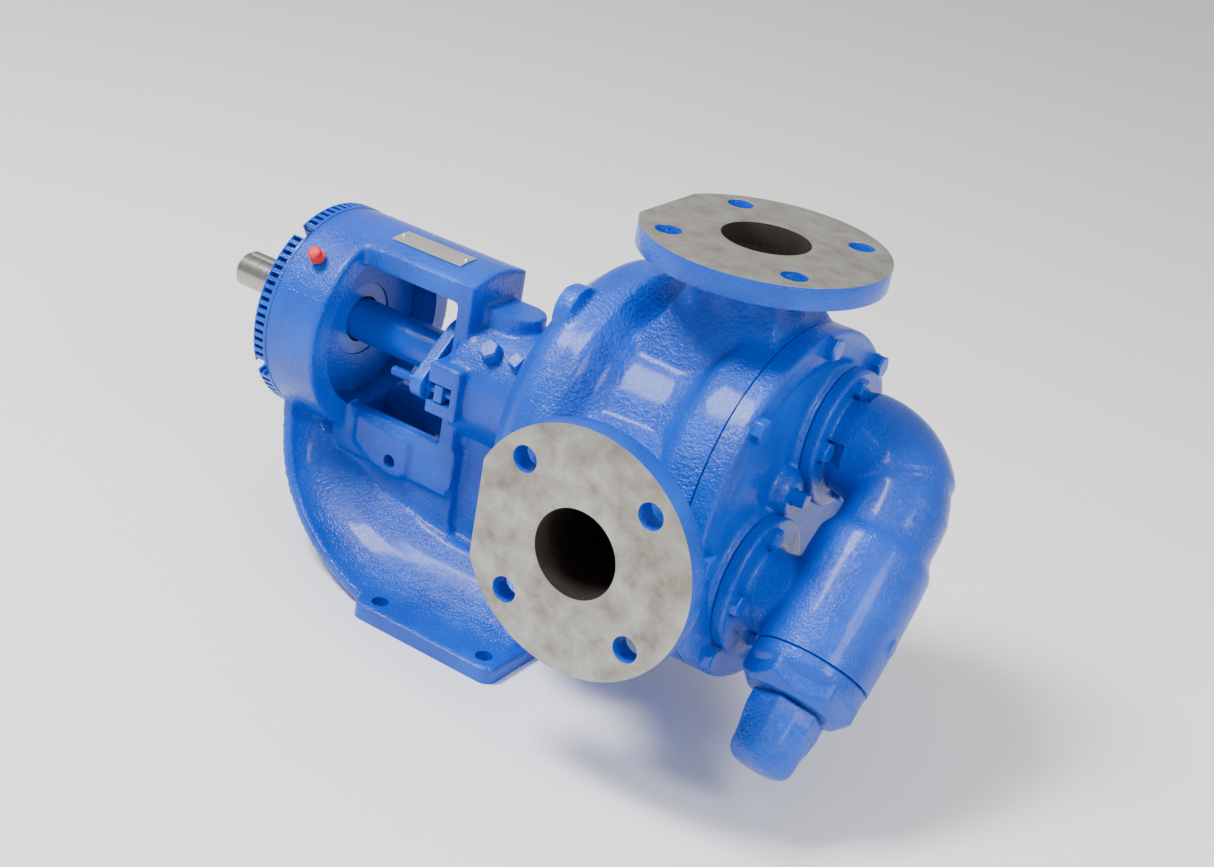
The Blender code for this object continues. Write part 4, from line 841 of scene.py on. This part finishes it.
select_faces(housing, in_slot)
bpy.ops.mesh.extrude_region_shrink_fatten(TRANSFORM_OT_shrink_fatten={"value": -6.0 * MM})
bpy.ops.object.mode_set(mode="OBJECT")
gap_tools = []
for turn in GAPS:
    gap = block("gap", (-380.0, -5.4, 73.0), (-364.0, 5.4, 92))
    gap.matrix_world = (Matrix.Translation(PUMP_CENTRE) @ Matrix.Rotation(math.radians(turn), 4, "X")
                        @ Matrix.Translation(-PUMP_CENTRE))
    only(gap)
    bpy.ops.object.transform_apply(location=True, rotation=True, scale=True)
    gap_tools.append(gap)
machine(housing, *gap_tools,
        turned("bearing_seat", [(-390, 40.3), (-344.7, 40.3)], sides=96),
        turned("seal_seat", [(-350, 30.3), (-330, 30.3)], sides=96))
finish(housing, FINE_CAST, "bearing_carrier", "bearing_housing", angle=CRISP_SHADING)

end_cap = turned("bearing_end_cover", [
    (-381.5, 46), (-380.5, 49.5), (-377.2, 50), (-376.8, 49.6), (-376.8, 40), (-369.3, 39.8)], sides=96)
machine(end_cap, turned("seal_hole", [(-400, 25.8), (-360, 25.8)], sides=64))
bevel_edges(end_cap, 0.5)
finish(end_cap, TURNED_PAINT, "bearing_carrier", "bearing_end_cap", angle=CRISP_SHADING)

RUBBER, nodes, links, shader = new_material("seal_rubber", (0.012, 0.012, 0.013), 0.5)
dust = nodes.new("ShaderNodeTexNoise")
dust.inputs["Scale"].default_value = 400.0
add_bump(nodes, links, shader, dust.outputs["Fac"], 0.15)
outer_lip = turned("outboard_seal_ring", [(-381.0, 25.2), (-379.0, 25.4)], sides=64)
machine(outer_lip, turned("lip_hole", [(-390, 15.9), (-370, 15.9)], sides=64))
finish(outer_lip, RUBBER, "bearing_carrier", "lip_seal_outboard", slot="seal_rubber")
inner_lip = turned("inboard_seal_ring", [(-343.5, 30.0), (-338.2, 30.0)], sides=64)
machine(inner_lip, turned("lip_hole", [(-350, 17.8), (-330, 17.8)], sides=64),
        turned("lip_recess", [(-341, 19.3), (-330, 19.3)], sides=64))
inner_lip.data.materials.append(TURNED_PAINT)
inner_lip.data.materials.append(RUBBER)
for polygon in inner_lip.data.polygons:
    corners = [inner_lip.data.vertices[corner].co for corner in polygon.vertices]
    reach = max(math.hypot(corner.y, corner.z - PUMP_CENTRE.z) for corner in corners)
    if reach < 19.4 * MM:
        polygon.material_index = 1
finish(inner_lip, TURNED_PAINT, "bearing_carrier", "lip_seal_inboard", slot="seal_rubber",
       angle=CRISP_SHADING)

# ================================================================ shaft
# A ground steel shaft.  It was sprayed with the pump inside the window and kept bare at the
# coupling end, which is keyed.
def build_ground_steel():
    """Ground steel with fine rings round the shaft."""
    material, nodes, links, shader = new_material("ground_steel", (0.56, 0.54, 0.51), 0.26, 1.0)
    place = nodes.new("ShaderNodeTexCoord")
    stretch = nodes.new("ShaderNodeMapping")
    stretch.inputs["Scale"].default_value = (2600.0, 60.0, 60.0)
    rings = nodes.new("ShaderNodeTexNoise")
    rings.inputs["Scale"].default_value = 1.0
    rings.inputs["Detail"].default_value = 3.0
    links.new(place.outputs["Object"], stretch.inputs["Vector"])
    links.new(stretch.outputs["Vector"], rings.inputs["Vector"])
    tint = add_ramp(nodes, links, rings.outputs["Fac"], [
        (0.3, (0.30, 0.29, 0.27)), (0.7, (0.40, 0.39, 0.37))])
    links.new(tint.outputs["Color"], shader.inputs["Base Color"])
    gloss = add_range(nodes, links, rings.outputs["Fac"], 0.2, 0.34)
    links.new(gloss.outputs["Result"], shader.inputs["Roughness"])
    add_bump(nodes, links, shader, rings.outputs["Fac"], 0.05)
    return material


GROUND_STEEL = build_ground_steel()
shaft = turned("pump_shaft", [
    (-465, 12.9), (-463.6, 14.3), (-384, 14.3), (-383.6, 15.6), (-369, 15.6), (-369, 16.8), (-343, 16.8),
    (-343, 17.46), (-215, 17.46), (-66, 17.46)], sides=96)
shaft.data.materials.append(GROUND_STEEL)
shaft.data.materials.append(TURNED_PAINT)
for polygon in shaft.data.polygons:
    if at(-343.5).x < polygon.center.x < at(-240).x:
        polygon.material_index = 1
finish(shaft, GROUND_STEEL, "shaft_line", "shaft", slot="shaft_steel", angle=CRISP_SHADING)
coat_nodes(GROUND_STEEL, "shaft_key", "bearing_inner_race", "bearing_outer_race", "bearing_locknut",
           "bearing_ball_cage", "idler_pin", "valve_poppet", "valve_spring", "valve_spring_guide",
           "valve_adjusting_screw", "valve_adjusting_locknut")
coat_nodes(BARE_IRON, "rotor", "idler_gear")

# ================================================================ packing gland and its studs
# A two-eared follower that squeezes the packing.  Two studs pass through its ears; their square
# nuts sit in slots in the bracket's lugs.
ear_swing = math.degrees(math.atan2(STUD_Z, STUD_Y))
gland_outline = []
for side in (0, 180):
    ear_lean = math.radians(ear_swing + side)
    centre = (STUD_Y * math.cos(ear_lean), STUD_Y * math.sin(ear_lean))
    gland_outline += arc(11.0, ear_swing + side - 58, ear_swing + side + 58, 10, centre)
    gland_outline += arc(40.0, ear_swing + side + 62, ear_swing + side + 118, 8)
gland = plate("gland_flange", [(-240, y, z) for y, z in gland_outline], (11, 0, 0))
sleeve = turned("gland_sleeve", [(-238, 26.7), (-187.5, 26.7)], sides=64)
gland = cast("packing_gland_casting", [gland, sleeve], grain=0.9, rounding=4, most_faces=60000)
machine(gland, turned("shaft_hole", [(-260, 18.6), (-180, 18.6)], sides=64),
        *[turned("stud_hole", [(-250, 4.4), (-220, 4.4)], sides=24,
                 centre=at(0, side * STUD_Y, side * STUD_Z)) for side in (-1, 1)])
finish(gland, FINE_CAST, "gland", "packing_gland")
for side, label in ((-1, "near"), (1, "far")):
    stud_axis = at(0, side * STUD_Y, side * STUD_Z)
    threads = [(-264, 3.2), (-263, 3.8)]
    for turn in range(14):
        threads += [(-262.4 + 1.27 * turn, 3.35), (-261.8 + 1.27 * turn, 3.85)]
    stud = turned(f"gland_stud_{label}_bolt", threads + [(-243, 3.8), (-198.6, 3.8)], sides=24,
                  centre=stud_axis)
    finish(stud, TURNED_PAINT, "frame", f"gland_stud_{label}", slot="shaft_steel", angle=CRISP_SHADING)
    nut = turned(f"gland_nut_{label}_block", [(-219, 9.2), (-218, 9.7), (-212, 9.7), (-211, 9.2)],
                 TO_HEAD @ Matrix.Rotation(math.radians(45), 4, "Z"), 4, stud_axis)
    machine(nut, turned("nut_bore", [(-230, 3.85), (-200, 3.85)], sides=24, centre=stud_axis))
    bevel_edges(nut, 0.4)
    finish(nut, TURNED_PAINT, "frame", f"gland_nut_{label}", angle=SCREW_SHADING)

# ================================================================ screws and plugs on the castings
# A hexagon capscrew and a square plug close two passages in the neck, and a square plug closes
# the idler pin's grease way in the head.
neck_screw = set_down(hex_screw("neck_screw", 15.2, 8.6, 5.0), at(-185) + NECK_SLOPE * 51.0 * MM,
                      facing(NECK_SLOPE, 12.0))
finish(neck_screw, TURNED_PAINT, "frame", "neck_capscrew", angle=SCREW_SHADING)


def square_plug(name, place, outward, across_flats, height, spin):
    """A small pipe plug with a tapered square head."""
    pose = facing(outward, spin)
    corner = across_flats / 2 * math.sqrt(2)
    plug = turned(name, [(-0.5, across_flats * 0.62), (1.5, across_flats * 0.6)], pose, 32, place)
    crown = turned("square", [(1.0, corner), (height, corner * 0.92)], pose, 4, place)
    bevel_edges(crown, 0.7, 3)
    return joined([plug, crown])


neck_plug = square_plug("neck_passage_plug", at(-159.8) + NECK_SLOPE * 50.6 * MM, NECK_SLOPE, 11.0, 8.6, 30.0)
finish(neck_plug, TURNED_PAINT, "frame", "neck_plug", angle=SCREW_SHADING)
pin_plug = square_plug("idler_grease_plug", on_head(0, PIN_OFFSET, HEAD_FACE + 7), OUT_OF_HEAD,
                       11.0, 9.8, 25.0)
finish(pin_plug, TURNED_PAINT, "frame", "idler_pin_plug", angle=SCREW_SHADING)

# ================================================================ nameplate
# A thin blank plate of brushed metal, curved over the beam of the bracket and held by two
# drive pins.
PLATE_METAL, nodes, links, shader = new_material("nameplate_metal", (0.5, 0.49, 0.42), 0.38, 0.85)
place = nodes.new("ShaderNodeTexCoord")
rub = nodes.new("ShaderNodeMapping")
rub.inputs["Scale"].default_value = (90.0, 1400.0, 1400.0)
brushing = nodes.new("ShaderNodeTexNoise")
brushing.inputs["Scale"].default_value = 1.0
links.new(place.outputs["Object"], rub.inputs["Vector"])
links.new(rub.outputs["Vector"], brushing.inputs["Vector"])
sheen = add_ramp(nodes, links, brushing.outputs["Fac"], [
    (0.3, (0.50, 0.49, 0.43)), (0.7, (0.74, 0.73, 0.67))])
links.new(sheen.outputs["Color"], shader.inputs["Base Color"])
add_bump(nodes, links, shader, brushing.outputs["Fac"], 0.06)
plate_arc = arc(BARREL + 1.1, 88.8, 102.2, 8)
under_arc = arc(BARREL + 0.3, 102.2, 88.8, 8)
nameplate = plate("blank_nameplate", [(-304.5, y, z) for y, z in plate_arc + under_arc], (67.5, 0, 0))
finish(nameplate, PLATE_METAL, "frame", "nameplate", slot="nameplate_metal", angle=CRISP_SHADING)
for index, x in enumerate((-301.0, -239.5)):
    lean = math.radians(5.2)
    stand = Vector((0, -math.sin(lean), math.cos(lean)))
    pin = turned(f"nameplate_pin_{index + 1}", [(0.0, 2.1), (0.9, 2.0), (1.5, 1.3)],
                 facing(stand), 20, at(x) + stand * (BARREL + 0.9) * MM)
    finish(pin, PLATE_METAL, "frame", slot="nameplate_metal", angle=CRISP_SHADING)

# ================================================================ grease fitting and its cap
# A small steel grease nipple on the bearing barrel, under a soft red cap with a narrow waist
# and a rounded top.
RED_PLASTIC, nodes, links, shader = new_material("soft_red_plastic", (0.72, 0.012, 0.012), 0.34)
shader.inputs["Subsurface Weight"].default_value = 0.1
shader.inputs["Subsurface Scale"].default_value = 0.002
mottle = nodes.new("ShaderNodeTexNoise")
mottle.inputs["Scale"].default_value = 500.0
add_bump(nodes, links, shader, mottle.outputs["Fac"], 0.12)
grease_lean = math.radians(43)
grease_out = Vector((0, -math.sin(grease_lean), math.cos(grease_lean)))
grease_foot = at(-340) + grease_out * (BARREL + 0.2) * MM
grease_pose = facing(grease_out)
nipple = turned("grease_nipple", [(0.0, 5.6), (3.6, 5.6), (4.0, 5.2)], grease_pose, 6, grease_foot)
finish(nipple, GROUND_STEEL, "frame", "grease_fitting", slot="shaft_steel", angle=CRISP_SHADING)
red_cap = turned("grease_cap", [
    (4.2, 5.2), (4.6, 6.4), (6.6, 6.4), (7.2, 4.7), (8.6, 4.4), (9.4, 5.4), (11.8, 5.5), (13.0, 4.4),
    (13.4, 2.6)], grease_pose, 32, grease_foot)
finish(red_cap, RED_PLASTIC, "frame", "grease_fitting_cap", slot="red_cap_plastic", angle=50.0)

# ================================================================ bushings and packing
# Bronze bushings carry the shaft and the idler, and braided rings seal the shaft.  They are
# CAD solids that show as they are, so only their materials are made here.
BRONZE, nodes, links, shader = new_material("bearing_bronze", (0.6, 0.38, 0.16), 0.34, 0.95)
polish = nodes.new("ShaderNodeTexNoise")
polish.inputs["Scale"].default_value = 300.0
add_bump(nodes, links, shader, polish.outputs["Fac"], 0.08)
coat_nodes(BRONZE, "bracket_bushing", "idler_bushing", "lantern_ring")
BRAID, nodes, links, shader = new_material("braided_packing", (0.05, 0.047, 0.042), 0.85)
braid = nodes.new("ShaderNodeTexWave")
braid.inputs["Scale"].default_value = 260.0
braid.inputs["Distortion"].default_value = 3.0
add_bump(nodes, links, shader, braid.outputs["Fac"], 0.5)
coat_nodes(BRAID, "packing_ring_inner", "packing_ring_outer")
